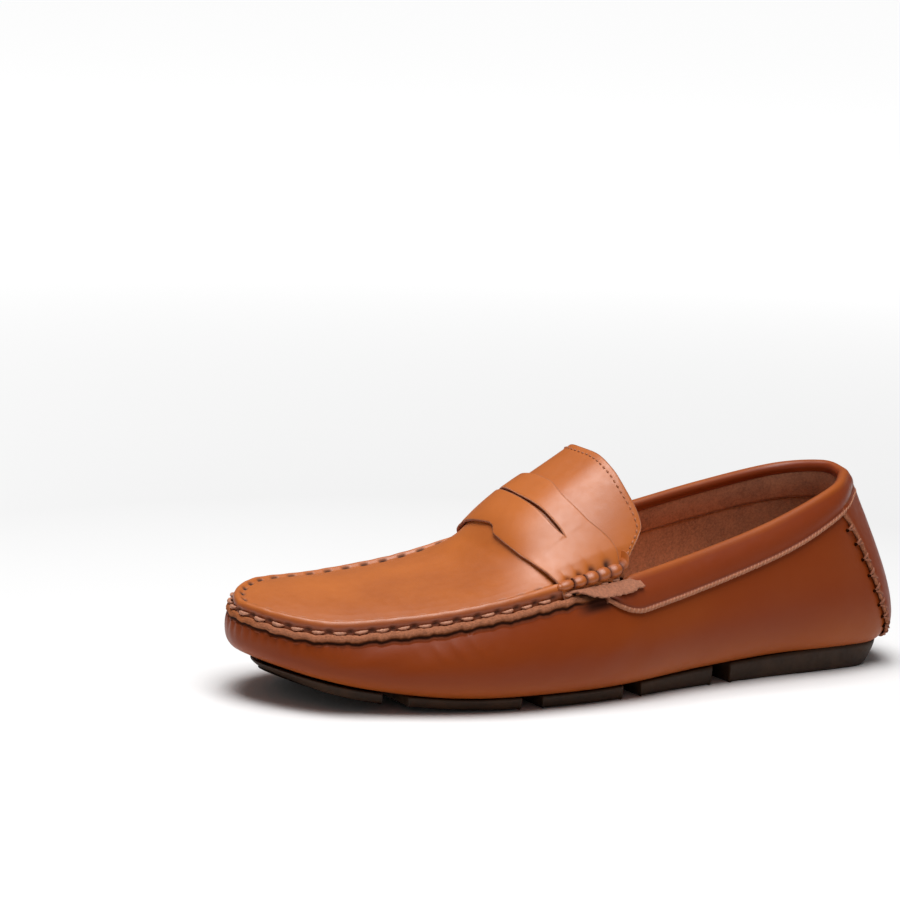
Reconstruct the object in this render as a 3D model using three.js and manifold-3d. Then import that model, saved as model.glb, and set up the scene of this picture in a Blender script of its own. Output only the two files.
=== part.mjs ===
// A left penny loafer of driving-moccasin make, as the pieces of leather, foam, rubber and thread
// that it is put together from.
// Frame: millimetres, +Z up, toe towards -Y, heel towards +Y, +X the wearer's left (the outer side).
// The origin is on the ground, in the middle of the shoe's bounding box.
import * as THREE from 'three';
import { mergeVertices } from 'three/addons/utils/BufferGeometryUtils.js';
import Module from 'manifold-3d';

const wasm = await Module();
wasm.setup();

// ---------------------------------------------------------------- driving dimensions

// Stations round the upper, from the middle of the heel along the outer side to the toe and back
// along the inner side: [x, distance in front of the heel, inset of the top edge, its height].
const STATIONS = [
  [0, -1.5, 17, 78], [23.5, 8, 15.5, 76], [33, 33.5, 11.5, 73.5], [37, 69, 9.5, 62.5],
  [42.5, 107, 10, 53], [50.5, 142, 11, 47], [54, 174, 10, 42], [53, 206, 9, 37.5],
  [43, 240, 8, 32.5], [24.5, 270, 6, 31], [-7, 288.5, 4, 35], [-34.5, 273, 6, 36.5],
  [-46, 243, 8, 37], [-47.5, 208, 9.5, 41], [-43, 175.5, 10, 47.5], [-38, 142, 10, 55],
  [-35.5, 106, 8.5, 62], [-35.5, 69, 8, 69.5], [-33.5, 33.5, 9, 76], [-23, 8.5, 13.5, 79],
];
// The crown line of the vamp and tongue, from the toe seam to the tongue's edge:
// [x, distance in front of the heel, height].
const CROWN = [
  [-7, 284.5, 39], [-6, 261, 41], [-4, 235.5, 43.5], [-3, 214, 46],
  [-2.2, 198.5, 51], [-2, 187, 59], [-1.5, 175.5, 70.5], [-1.4, 144, 91.5],
];
const HEEL_Y = 143.5; // the plane that distances from the heel are measured from
const SIDE_X = -3.2; // moves the outline so that its box is centred

const GAP = 0.3; // clearance between two layers
const LEATHER = 1.5; // upper leather
const LINING = 0.8; // lining leather
const COUNTER = 1.0; // heel stiffener

const TOE_SPRING = 12; // lift of the sole at the tip of the toe
const TOE_THIN = 3.4; // how much thinner the rubber is there
const SPRING_START = 205; // where the toe spring starts, in front of the heel
const SOLE_FRONT = 5; // rubber thickness from the toe to the waist
const SOLE_HEEL = 10; // rubber thickness under the heel
const GROOVE = 8; // gap between two sole pads
const GROOVES = [94, 141, 188, 241]; // middles of those gaps, in front of the heel

const FEATHER = 8; // how far the upper rolls in under itself at the sole
const RIM = 4.5; // height of the vamp's rim over the seam
const RIM_POWER = 16; // how square that rim is
const CROWN_POWER = 2.6; // how full the instep is from side to side
const TONGUE_END = 0.24; // where the tongue ends, as a share of the way round the top edge
const TONGUE_CORNER = 9; // how far the tongue's rounded corners reach back
const SEAM_LIFT = 0.5; // clearance of the vamp's edge over the wrap's edge

const STRAP_FRONT = 0.772; // places along the crown, from the toe (0) to the tongue's edge (1)
const SLIT = 0.889;
const STRAP_BACK = 0.94;
const STRAP_TAB = 8; // how far the strap's ends hang over the seam
const BAND_SIDE = 13; // depth of the collar band at the sides
const BAND_HEEL = 8; // and behind the heel
const COLLAR_ROLL = 5; // depth of the rolled edge that the band makes
const ROLL_RADIUS = 3.2;
const ROLL_BUMPS = 5;
const PATCH_TOP = 0.1; // half width of the heel patch, as a share of the way round
const PATCH_BOTTOM = 0.062;

// ---------------------------------------------------------------- small helpers

const clamp = (value, low, high) => Math.min(high, Math.max(low, value));
const mix = (from, to, share) => from + (to - from) * share;

function smooth(from, to, value) {
  const share = clamp((value - from) / (to - from), 0, 1);
  return share * share * (3 - 2 * share);
}

// Turns a list of triangles into one closed body with its faces pointing out.
function closedBody(positions, triangles) {
  const raw = new THREE.BufferGeometry();
  raw.setAttribute('position', new THREE.Float32BufferAttribute(positions, 3));
  raw.setIndex(triangles);
  const merged = mergeVertices(raw, 1e-3);
  const index = merged.getIndex().array;
  const at = merged.getAttribute('position');
  const corner = [new THREE.Vector3(), new THREE.Vector3(), new THREE.Vector3()];
  const kept = [];
  let volume = 0;
  for (let i = 0; i < index.length; i += 3) {
    const [a, b, c] = [index[i], index[i + 1], index[i + 2]];
    if (a === b || b === c || c === a) continue;
    kept.push(a, b, c);
    [a, b, c].forEach((vertex, k) => corner[k].fromBufferAttribute(at, vertex));
    volume += corner[0].dot(corner[1].cross(corner[2]));
  }
  if (volume < 0) kept.reverse();
  merged.setIndex(kept);
  return merged;
}

// A sheet with thickness: point(u, v, k) gives the outer face (k = 0) and the inner face (k = 1)
// for u and v from 0 to 1. open lists the borders that need a wall; the others meet themselves.
function shell(nu, nv, point, open = ['u0', 'u1', 'v0', 'v1']) {
  const positions = [];
  const triangles = [];
  for (let k = 0; k < 2; k += 1) {
    for (let i = 0; i <= nu; i += 1) {
      for (let j = 0; j <= nv; j += 1) positions.push(...point(i / nu, j / nv, k));
    }
  }
  const id = (i, j, k) => k * (nu + 1) * (nv + 1) + i * (nv + 1) + j;
  const quad = (a, b, c, d) => triangles.push(a, b, c, a, c, d);
  for (let i = 0; i < nu; i += 1) {
    for (let j = 0; j < nv; j += 1) {
      quad(id(i, j, 0), id(i + 1, j, 0), id(i + 1, j + 1, 0), id(i, j + 1, 0));
      quad(id(i, j, 1), id(i, j + 1, 1), id(i + 1, j + 1, 1), id(i + 1, j, 1));
    }
  }
  for (let j = 0; j < nv; j += 1) {
    if (open.includes('u0')) quad(id(0, j, 0), id(0, j + 1, 0), id(0, j + 1, 1), id(0, j, 1));
    if (open.includes('u1')) quad(id(nu, j, 0), id(nu, j, 1), id(nu, j + 1, 1), id(nu, j + 1, 0));
  }
  for (let i = 0; i < nu; i += 1) {
    if (open.includes('v0')) quad(id(i, 0, 0), id(i, 0, 1), id(i + 1, 0, 1), id(i + 1, 0, 0));
    if (open.includes('v1')) quad(id(i, nv, 0), id(i + 1, nv, 0), id(i + 1, nv, 1), id(i, nv, 1));
  }
  return closedBody(positions, triangles);
}

// A solid round a path: radius(share) may change along it, and both ends close to a point.
function bead(path, steps, sides, radius) {
  const frames = path.computeFrenetFrames(steps, false);
  return shell(steps, sides, (u, v, k) => {
    const middle = path.getPointAt(u);
    const i = Math.round(u * steps);
    const reach = k === 0 ? radius(u) : 0;
    const turn = v * 2 * Math.PI;
    middle.addScaledVector(frames.normals[i], reach * Math.cos(turn));
    middle.addScaledVector(frames.binormals[i], reach * Math.sin(turn));
    return middle.toArray();
  }, []);
}

// A round thread or cord along a list of points.
function thread(points, radius, steps) {
  const circle = new THREE.Shape().absarc(0, 0, radius, 0, 2 * Math.PI);
  const path = new THREE.CatmullRomCurve3(points.map((point) => new THREE.Vector3(...point)));
  const tube = new THREE.ExtrudeGeometry(circle, { steps, curveSegments: 3, extrudePath: path });
  tube.deleteAttribute('normal');
  tube.deleteAttribute('uv');
  const flat = mergeVertices(tube, 1e-4);
  return closedBody(flat.getAttribute('position').array, Array.from(flat.getIndex().array));
}

function toSolid(geometry) {
  const bare = geometry.clone();
  bare.deleteAttribute('normal');
  bare.deleteAttribute('uv');
  const merged = mergeVertices(bare, 1e-4);
  return new wasm.Manifold(new wasm.Mesh({
    numProp: 3,
    vertProperties: new Float32Array(merged.getAttribute('position').array),
    triVerts: new Uint32Array(merged.getIndex().array),
  }));
}

function toGeometry(solid) {
  const mesh = solid.getMesh();
  const geometry = new THREE.BufferGeometry();
  geometry.setAttribute('position', new THREE.BufferAttribute(mesh.vertProperties, 3));
  geometry.setIndex(new THREE.BufferAttribute(mesh.triVerts, 1));
  return geometry;
}

// ---------------------------------------------------------------- the foot's shape

const loop = (points) => new THREE.CatmullRomCurve3(points, true, 'catmullrom', 0.5);
const footprint = loop(STATIONS.map(([x, s]) => new THREE.Vector3(x + SIDE_X, HEEL_Y - s, 0)));
const topEdge = loop(STATIONS.map(([, , inset, height]) => new THREE.Vector3(inset, height, 0)));
const crown = new THREE.CatmullRomCurve3(
  CROWN.map(([x, s, z]) => new THREE.Vector3(x + SIDE_X, HEEL_Y - s, z)), false, 'catmullrom', 0.5);

const soleRise = (s) => TOE_SPRING * (Math.max(0, s - SPRING_START) / 85) ** 2
  + 3.5 * (Math.max(0, 14 - s) / 14) ** 2;
const soleBottom = (s) => soleRise(s) + TOE_THIN * (Math.max(0, s - 250) / 35) ** 2;
const soleTop = (s) => soleRise(s) + mix(SOLE_FRONT, SOLE_HEEL, smooth(170, 30, s));

// The cross-section of the side wall at a share a of the way round, as a curve of
// (distance outside the outline, height) from the sole's edge up to the top edge.
function section(a) {
  const share = a - Math.floor(a);
  const foot = footprint.getPoint(share);
  const along = footprint.getTangent(share);
  const top = topEdge.getPoint(share);
  const s = HEEL_Y - foot.y;
  const low = soleTop(s) + GAP;
  const rise = top.y - low;
  const heel = smooth(75, 10, s);
  const curve = new THREE.CubicBezierCurve(
    new THREE.Vector2(-FEATHER + 2 * heel, low),
    new THREE.Vector2(6 + 3 * heel, low + 0.1 * rise),
    new THREE.Vector2(2.5 - 9.5 * heel, low + 0.62 * rise),
    new THREE.Vector2(-top.x, top.y));
  return { foot, outward: new THREE.Vector2(-along.y, along.x), curve, low, height: top.y };
}

// A point of the wall: t runs from the sole's edge (0) to the top edge (1), off is outwards.
function wall(a, t, off = 0) {
  const { foot, outward, curve } = section(a);
  const inside = clamp(t, 0, 1);
  const at = curve.getPoint(inside);
  const up = curve.getTangent(inside);
  const past = t > 1 ? t - 1 : 0; // beyond the top edge, t counts millimetres straight on
  const out = at.x + off * up.y + past * up.x;
  return [foot.x + outward.x * out, foot.y + outward.y * out, at.y - off * up.x + past * up.y];
}

// The t of the wall at a depth under its top edge; above it, the depth is negative.
function tAtDepth(a, depth) {
  if (depth <= 0) return 1 - depth;
  const { curve, height } = section(a);
  let [low, high] = [0, 1];
  for (let i = 0; i < 24; i += 1) {
    const middle = (low + high) / 2;
    if (curve.getPoint(middle).y < height - depth) low = middle;
    else high = middle;
  }
  return (low + high) / 2;
}

const wallDown = (a, depth, off) => wall(a, tAtDepth(a, depth), off);

// A point of the instep: u runs from the toe seam (0) to the tongue's edge (1), and w from the
// inner side's seam (-1) over the crown (0) to the outer side's seam (1).
function instepPoint(u, w) {
  const reach = (0.5 - TONGUE_END) * u;
  const outer = new THREE.Vector3(...wall(0.5 - reach, 1));
  const inner = new THREE.Vector3(...wall(0.5 + reach, 1));
  outer.z += SEAM_LIFT;
  inner.z += SEAM_LIFT;
  const top = crown.getPoint(u);
  const base = inner.clone().lerp(outer, (w + 1) / 2);
  const rim = Math.min(RIM, top.z - SEAM_LIFT - (inner.z + outer.z) / 2 + SEAM_LIFT);
  const full = 1 - Math.abs(w) ** CROWN_POWER;
  const lift = top.sub(inner.add(outer).multiplyScalar(0.5));
  lift.z -= rim;
  base.addScaledVector(lift, full);
  base.z += rim * (1 - Math.abs(w) ** RIM_POWER);
  const corner = Math.abs(w) ** 3;
  base.y += TONGUE_CORNER * smooth(0.86, 1, u) * 4 * corner * (1 - corner);
  return base;
}

function instepNormal(u, w) {
  const step = 0.004;
  const at = Math.max(u, 0.03);
  const alongU = instepPoint(at + step, w).sub(instepPoint(at - step, w));
  const alongW = instepPoint(at, w + step).sub(instepPoint(at, w - step));
  return alongW.cross(alongU).normalize();
}

function instep(u, w, off) {
  const normal = instepNormal(u, w);
  if (u < 0.03) normal.lerp(instepNormal(u, -w), 0.5 * (1 - u / 0.03)).normalize();
  return instepPoint(u, w).addScaledVector(normal, off).toArray();
}

// ---------------------------------------------------------------- flat layers under the foot

// Shares of the way from the middle of the sole to its outline: closer near the outline, where
// the sole turns up at the toe and the heel.
const RINGS = [0, 0.5, 0.75, 0.88, 1];
const FLOOR_ROWS = RINGS.length - 1;

// A layer with the outline of the sole, drawn in by an inset, between two heights.
function floorLayer(steps, inset, low, high) {
  return shell(steps, FLOOR_ROWS, (u, v, k) => {
    const { foot, outward } = section(u);
    const share = RINGS[Math.round(v * FLOOR_ROWS)];
    const x = share * (foot.x - outward.x * inset);
    const y = share * (foot.y - outward.y * inset);
    const s = HEEL_Y - share * foot.y;
    return [x, y, k === 0 ? low(s) : high(s)];
  }, ['v1']);
}

const soleBody = () => toSolid(floorLayer(52, FEATHER - 2, soleBottom, soleTop));
const footbedLayer = (low, high) => floorLayer(36, FEATHER + 2,
  (s) => soleTop(s) + low, (s) => soleTop(s) + high);

// One block of the rubber sole between two distances in front of the heel.
function solePad(sole, from, to) {
  const box = new THREE.BoxGeometry(200, to - from, 60);
  box.translate(0, HEEL_Y - (from + to) / 2, 0);
  return toGeometry(sole.intersect(toSolid(box)));
}

// ---------------------------------------------------------------- upper

const onCollar = (a) => smooth(0.275, 0.235, Math.min(a, 1 - a));

function moccasinWrap() {
  const wallRows = 9;
  const rows = FLOOR_ROWS + wallRows;
  return shell(52, rows, (u, v, k) => {
    const off = k === 0 ? 0 : -LEATHER;
    const row = Math.round(v * rows);
    if (row >= FLOOR_ROWS) {
      const t = (row - FLOOR_ROWS) / wallRows;
      return wall(u, t * tAtDepth(u, 0.01 + COLLAR_ROLL * onCollar(u)), off);
    }
    const [x, y, z] = wall(u, 0, off);
    const share = RINGS[row];
    const edgeS = HEEL_Y - section(u).foot.y;
    const s = mix(HEEL_Y, edgeS, share);
    const lift = mix(GAP - off, z - soleTop(edgeS), share ** 4);
    return [x * share, y * share, soleTop(s) + lift];
  }, ['v1']);
}

function apron() {
  return shell(18, 20, (u, v, k) => {
    const w = Math.sin((v - 0.5) * Math.PI * 0.995) / Math.sin(Math.PI * 0.4975);
    return instep(u, w, k === 0 ? 0 : -LEATHER);
  }, ['u1', 'v0', 'v1']);
}

function saddleStrap() {
  const side = 1 + STRAP_TAB / 30;
  const strap = shell(5, 30, (u, v, k) => {
    const place = mix(STRAP_FRONT, STRAP_BACK, u);
    const w = (2 * v - 1) * side;
    const off = k === 0 ? GAP + LEATHER : GAP;
    if (Math.abs(w) <= 1) return instep(place, w, off);
    const reach = (0.5 - TONGUE_END) * place;
    const a = w > 0 ? 0.5 - reach : 0.5 + reach;
    return wallDown(a, (Math.abs(w) - 1) * 30, off + 0.2);
  });
  const slit = shell(2, 12, (u, v, k) => {
    const w = 1.24 * (v - 0.5);
    const opening = 0.002 + 0.007 * Math.sin(Math.PI * v);
    return instep(SLIT + (u - 0.5) * opening, w, k === 0 ? 4 : -1);
  });
  const notch = shell(2, 4, (u, v, k) => {
    const half = mix(0.12, 0.01, u);
    return instep(STRAP_FRONT + mix(-0.01, 0.02, u), (2 * v - 1) * half, k === 0 ? 4 : -1);
  });
  return toGeometry(toSolid(strap).subtract(toSolid(slit)).subtract(toSolid(notch)));
}

// ---------------------------------------------------------------- collar and heel

const COLLAR_END = 0.232; // where the collar ends beside the tongue
const bandDepth = (a) => mix(BAND_HEEL, BAND_SIDE, smooth(0.06, 0.14, Math.abs(a)));
const collarShare = (u) => mix(-COLLAR_END, COLLAR_END, u);

// Folds a sheet over the top edge: outer and inner are paths of [depth, off] pairs.
function overCollar(steps, outer, inner) {
  return shell(steps, outer(0).length - 1, (u, v, k) => {
    const a = collarShare(u);
    const path = k === 0 ? outer(a) : inner(a);
    const [depth, off] = path[Math.round(v * (path.length - 1))];
    return wallDown(a, depth, off);
  });
}

function collarBand() {
  const outer = (a) => [
    [bandDepth(a), 1.5], [bandDepth(a) * 0.75, 1.6], [4.5, 1.9], [1.6, 1.7], [0, 0.5],
    [-0.7, -1.5], [0, -3.6], [1.6, -5.2], [4.5, -5.7], [7.5, -5.6],
  ];
  const inner = (a) => [
    [bandDepth(a), GAP], [bandDepth(a) * 0.75, 0.4], [4.5, 0.6], [2.4, 0.5], [1.2, -0.3],
    [0.5, -1.6], [1.2, -3.1], [2.4, -4.1], [4.5, -4.5], [7.5, -4.4],
  ];
  return overCollar(34, outer, inner);
}

function collarFoam() {
  const outer = () => [[4.6, -0.1], [2.6, 0], [1.3, -1.6], [2.6, -3.6], [4.6, -3.8]];
  const inner = () => [[4.7, -0.2], [4.7, -1.2], [4.7, -2], [4.7, -3], [4.7, -3.7]];
  return overCollar(30, outer, inner);
}

// A lining that lies against the wall between two depths or shares of its height.
function wallLayer(nu, nv, from, to, tLow, tHigh, offOuter, offInner) {
  return shell(nu, nv, (u, v, k) => {
    const a = mix(from, to, u);
    return wall(a, mix(tLow(a), tHigh(a), v), k === 0 ? offOuter : offInner);
  });
}

const counterOff = -(LEATHER + 2 * GAP);
const quarterOff = counterOff - COUNTER - GAP;
const facingOff = quarterOff - LINING - GAP;

const collarFacing = () => wallLayer(30, 2, -COLLAR_END, COLLAR_END,
  (a) => tAtDepth(a, 21), (a) => tAtDepth(a, 8), facingOff, facingOff - LINING);
const quarterLining = () => wallLayer(30, 6, -0.225, 0.225,
  () => 0.12, (a) => tAtDepth(a, COLLAR_ROLL + 0.4), quarterOff, quarterOff - LINING);
const heelCounter = () => wallLayer(16, 5, -0.12, 0.12,
  () => 0.14, () => 0.8, counterOff, counterOff - COUNTER);
const vampLining = () => wallLayer(26, 4, 0.24, 0.76,
  () => 0.14, () => 0.9, counterOff, counterOff - LINING);

function tongueLining() {
  return shell(9, 12, (u, v, k) => {
    const off = -(LEATHER + 2 * GAP) - k * LINING;
    return instep(mix(0.42, 0.99, u), 1.68 * (v - 0.5), off);
  });
}

function heelPatch() {
  return shell(16, 8, (u, v, k) => {
    const half = mix(PATCH_BOTTOM, PATCH_TOP, v);
    const a = mix(-half, half, u);
    const t = mix(0.04, tAtDepth(a, bandDepth(a) + 0.5), v);
    return wall(a, t, k === 0 ? 1.6 : 0.4);
  });
}

// ---------------------------------------------------------------- beefrolls and threads

const ROLL_OFF = GAP + LEATHER + 1 + ROLL_RADIUS; // the roll's middle, outside the wall
const onSide = (side, a) => (side > 0 ? a : 1 - a);

// The seam under the strap's end on one side, at a distance outside the wall.
function rollPath(side, off, from = STRAP_FRONT - 0.02, to = STRAP_BACK + 0.02) {
  const points = [0, 0.25, 0.5, 0.75, 1].map((share) => {
    const a = onSide(side, 0.5 - (0.5 - TONGUE_END) * mix(from, to, share));
    return new THREE.Vector3(...wallDown(a, -0.6, off));
  });
  return new THREE.CatmullRomCurve3(points);
}

function beefroll(side) {
  const path = rollPath(side, ROLL_OFF);
  const bump = (u) => 0.72 + 0.28 * Math.abs(Math.sin(u * Math.PI * ROLL_BUMPS));
  const end = (u) => Math.min(1, Math.sqrt(Math.min(u, 1 - u) * 24));
  return bead(path, 30, 8, (u) => ROLL_RADIUS * bump(u) * end(u));
}

// The lashing: it goes over the roll and back in the valleys between the bumps.
function beefrollCord(side) {
  const path = rollPath(side, ROLL_OFF);
  const reach = ROLL_RADIUS + 1.1;
  const points = [];
  for (let valley = 1; valley < ROLL_BUMPS; valley += 1) {
    const at = path.getPointAt(valley / ROLL_BUMPS);
    const out = new THREE.Vector3(at.x * 0.4, 0, 0).normalize();
    const angles = [-0.9, -0.3, 0.3, 0.9];
    if (valley % 2 === 0) angles.reverse();
    angles.forEach((angle) => points.push([
      at.x + out.x * reach * Math.cos(angle), at.y, at.z + reach * Math.sin(angle)]));
  }
  return thread(points, 0.6, 40);
}

function apronThread() {
  const points = [];
  for (let i = 0; i <= 34; i += 1) {
    const a = mix(0.308, 0.692, i / 34);
    points.push(wallDown(a, i % 2 === 0 ? 1.2 : 2.2, 1.1));
  }
  return thread(points, 0.5, 68);
}

function tongueThread() {
  const points = [];
  for (let i = 0; i <= 12; i += 1) points.push(instep(0.975, 1.8 * (i / 12 - 0.5), 1));
  return thread(points, 0.4, 24);
}

function collarThread() {
  const points = [];
  for (let i = 0; i <= 36; i += 1) {
    const a = collarShare(i / 36);
    points.push(wallDown(a, bandDepth(a) - 2, 2.5));
  }
  return thread(points, 0.4, 54);
}

// The lacing that holds one side edge of the heel patch, as a zigzag.
function heelThread(side) {
  const points = [];
  const laces = 16;
  for (let i = 0; i <= laces; i += 1) {
    const v = mix(0.06, 0.96, i / laces);
    const edge = side * mix(PATCH_BOTTOM, PATCH_TOP, v);
    const t = mix(0.06, tAtDepth(edge, bandDepth(edge) + 2), v);
    points.push(wall(edge + (i % 2 === 0 ? 0.004 : -0.004), t, 2.3));
  }
  return thread(points, 0.5, 2 * laces);
}

// ---------------------------------------------------------------- the shoe

const materials = {
  leather: { color: 0x9c4a1c, roughness: 0.42, metalness: 0 },
  lining: { color: 0x6e4530, roughness: 0.9, metalness: 0 },
  sock: { color: 0xc8702c, roughness: 0.6, metalness: 0 },
  foam: { color: 0xd9c9a8, roughness: 1, metalness: 0 },
  counter: { color: 0xc9b48a, roughness: 0.9, metalness: 0 },
  rubber: { color: 0x2f241b, roughness: 0.7, metalness: 0 },
  thread: { color: 0xb8795a, roughness: 0.8, metalness: 0 },
};

const shoe = new THREE.Group();

function addPiece(name, geometry, material) {
  geometry.computeVertexNormals();
  const mesh = new THREE.Mesh(geometry, new THREE.MeshStandardMaterial(materials[material]));
  mesh.name = name;
  shoe.add(mesh);
}

const sole = soleBody();
const padNames = ['heel', 'waist', 'middle', 'ball', 'toe'];
padNames.forEach((name, i) => {
  const from = i === 0 ? -20 : GROOVES[i - 1] + GROOVE / 2;
  const to = i === GROOVES.length ? 320 : GROOVES[i] - GROOVE / 2;
  addPiece(`sole_pad_${name}`, solePad(sole, from, to), 'rubber');
});

addPiece('moccasin_wrap', moccasinWrap(), 'leather');
addPiece('apron', apron(), 'leather');
addPiece('saddle_strap', saddleStrap(), 'leather');
addPiece('collar_band', collarBand(), 'leather');
addPiece('collar_foam', collarFoam(), 'foam');
addPiece('collar_facing', collarFacing(), 'lining');
addPiece('quarter_lining', quarterLining(), 'lining');
addPiece('vamp_lining', vampLining(), 'lining');
addPiece('tongue_lining', tongueLining(), 'lining');
addPiece('heel_counter', heelCounter(), 'counter');
addPiece('heel_patch', heelPatch(), 'leather');
addPiece('footbed_foam', footbedLayer(3, 5.8), 'foam');
addPiece('sock_lining', footbedLayer(6.1, 7.1), 'sock');

for (const [name, side] of [['outer', 1], ['inner', -1]]) {
  addPiece(`beefroll_${name}`, beefroll(side), 'leather');
  addPiece(`beefroll_cord_${name}`, beefrollCord(side), 'thread');
  addPiece(`heel_thread_${name}`, heelThread(side), 'thread');
}
addPiece('apron_thread', apronThread(), 'thread');
addPiece('tongue_thread', tongueThread(), 'thread');
addPiece('collar_thread', collarThread(), 'thread');

export default shoe;
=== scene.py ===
"""Looks of the penny loafer: leather, linings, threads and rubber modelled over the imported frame.

Shapes are worked out in millimetres in the frame of the CAD model (+Z up, toe towards -Y,
+X the wearer's left) and turned into metres when a mesh is made.
"""

import math

import bpy
import numpy as np
from mathutils import Matrix, Vector
from mathutils.kdtree import KDTree


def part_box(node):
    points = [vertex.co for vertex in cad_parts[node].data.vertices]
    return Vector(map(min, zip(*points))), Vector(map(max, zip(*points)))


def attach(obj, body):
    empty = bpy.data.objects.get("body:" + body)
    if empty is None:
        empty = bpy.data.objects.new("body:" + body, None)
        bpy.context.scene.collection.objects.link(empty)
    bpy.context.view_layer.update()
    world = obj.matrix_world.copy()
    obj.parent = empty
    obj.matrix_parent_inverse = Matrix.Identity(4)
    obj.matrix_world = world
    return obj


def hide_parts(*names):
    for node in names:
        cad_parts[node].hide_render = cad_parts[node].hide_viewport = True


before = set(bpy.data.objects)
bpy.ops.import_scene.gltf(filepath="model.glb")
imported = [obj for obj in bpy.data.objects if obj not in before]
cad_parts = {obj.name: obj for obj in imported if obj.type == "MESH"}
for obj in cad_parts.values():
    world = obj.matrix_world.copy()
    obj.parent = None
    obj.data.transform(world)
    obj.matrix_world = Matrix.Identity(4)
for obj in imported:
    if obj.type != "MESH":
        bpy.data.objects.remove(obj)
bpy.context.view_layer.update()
MM = 0.001

# ------------------------------------------------------------------ dimensions, in millimetres

# Stations round the upper, from the middle of the heel along the outer side to the toe and back
# along the inner side: x, distance in front of the heel, inset of the top edge, its height.
STATIONS = np.array([
    (0, -1.5, 19.4, 78), (23.5, 8, 20.8, 77), (33, 33.5, 13, 73.5), (37, 69, 9.5, 62.5),
    (42.5, 107, 10, 53), (50.5, 142, 11, 47), (54, 174, 10, 42), (53, 206, 9, 37.5),
    (43, 240, 8, 32.5), (27.5, 270.3, 3.6, 31), (-6, 286.9, 0.8, 34.5), (-34.8, 273, 3.4, 36.5),
    (-46, 243, 8, 37), (-47.5, 208, 9.5, 41), (-43, 175.5, 10, 47.5), (-38, 142, 10, 55),
    (-35.5, 106, 8.5, 62), (-35.5, 69, 8, 69.5), (-33.5, 33.5, 9, 76), (-23, 8.5, 16.5, 79),
], float)
# Crown line of the vamp and tongue from the toe seam: x, distance in front of the heel, height.
CROWN = np.array([
    (-7, 286.4, 38.4), (-6, 261, 40), (-4, 235.5, 41.4), (-3, 214, 43.2),
    (-2.2, 198.5, 46), (-2, 187, 53.8), (-1.2, 175, 67.4), (-0.2, 140.4, 90.2),
], float)
FEATHER = 8.0  # how far the upper rolls in under itself at the sole
TONGUE_END = 0.24  # where the tongue ends, as a share of the way round the top edge
RIM = 4.5  # height of the vamp's rim over the seam
TOE_THIN = 3.4  # how much thinner the rubber is at the tip of the toe
TONGUE_CORNER = 7.4  # how far the sides of the tongue's edge reach back
STITCH = 8.2  # pitch of the hand-sewn apron seam
BAND_PITCH = 1.9  # pitch of the collar's overcast stitches
LACE_PITCH = 5.0  # pitch of the heel patch's lacing
TONGUE_PITCH = 2.5  # pitch of the stitching along the tongue's edge
LEATHER = 1.5  # thickness of the upper leather
BAND_END = 0.268  # where the collar band ends, as a share of the way round
# The beefrolls' two ends as shares of the way round, and where along the strap their lashing
# starts and how far apart its turns are.
ROLL_FRONT, ROLL_BACK = 0.2995, 0.2525
ROLL_U = (0.5 - ROLL_FRONT) / (0.5 - TONGUE_END)
ROLL_STEP = (ROLL_FRONT - ROLL_BACK) / (0.5 - TONGUE_END) / 5
# Half width of the heel patch, as a share of the way round, at even steps from its top down.
PATCH_EDGE = np.array([[0.095], [0.077], [0.067], [0.0605], [0.051], [0.04]])
PATCH_LENGTH = 50.0  # height of the patch's laced edge
PAD_CORNER = 2.2  # rounding of the sole pads' outlines


def smooth(low, high, x):
    share = np.clip((np.asarray(x, float) - low) / (high - low), 0, 1)
    return share * share * (3 - 2 * share)


def unit(vectors):
    return vectors / np.maximum(np.linalg.norm(vectors, axis=-1, keepdims=True), 1e-12)


def catmull(points, share, closed):
    """Value and derivative of a uniform Catmull-Rom curve through points."""
    share = np.asarray(share, float)
    count = len(points)
    if closed:
        place = (share % 1.0) * count
        index = np.floor(place).astype(int)
        p = [points[(index + k) % count] for k in (-1, 0, 1, 2)]
    else:
        place = np.clip(share, 0, 1) * (count - 1)
        index = np.minimum(np.floor(place).astype(int), count - 2)
        padded = np.vstack([2 * points[0] - points[1], points, 2 * points[-1] - points[-2]])
        p = [padded[index + k] for k in (0, 1, 2, 3)]
    f = (place - index)[..., None]
    slope = p[2] - p[0]
    bend = 2 * p[0] - 5 * p[1] + 4 * p[2] - p[3]
    twist = -p[0] + 3 * p[1] - 3 * p[2] + p[3]
    value = 0.5 * (2 * p[1] + slope * f + bend * f**2 + twist * f**3)
    change = 0.5 * (slope + 2 * bend * f + 3 * twist * f**2)
    return value, change


# The outline is laid so that it fills the box of the CAD wrap.
wrap_low, wrap_high = (np.array(corner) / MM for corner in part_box("moccasin_wrap"))
outline = catmull(STATIONS[:, :2] * (1, -1), np.linspace(0, 1, 2001), True)[0]
CENTRE_X = (wrap_low[0] + wrap_high[0]) / 2 - (outline[:, 0].min() + outline[:, 0].max()) / 2
HEEL_Y = (wrap_low[1] + wrap_high[1]) / 2 - (outline[:, 1].min() + outline[:, 1].max()) / 2


# ------------------------------------------------------------------ the shoe's surfaces

def sole_rise(s):
    return 12 * (np.maximum(0, s - 205) / 85)**2 + 3.5 * (np.maximum(0, 14 - s) / 14)**2


def sole_bottom(s):
    return sole_rise(s) + 1.1 * smooth(165, 225, s) + (TOE_THIN - 1.1) * (np.maximum(0, s - 250) / 35)**2


def sole_top(s):
    return sole_rise(s) + 5 + 5 * smooth(170, 30, s)


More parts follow.
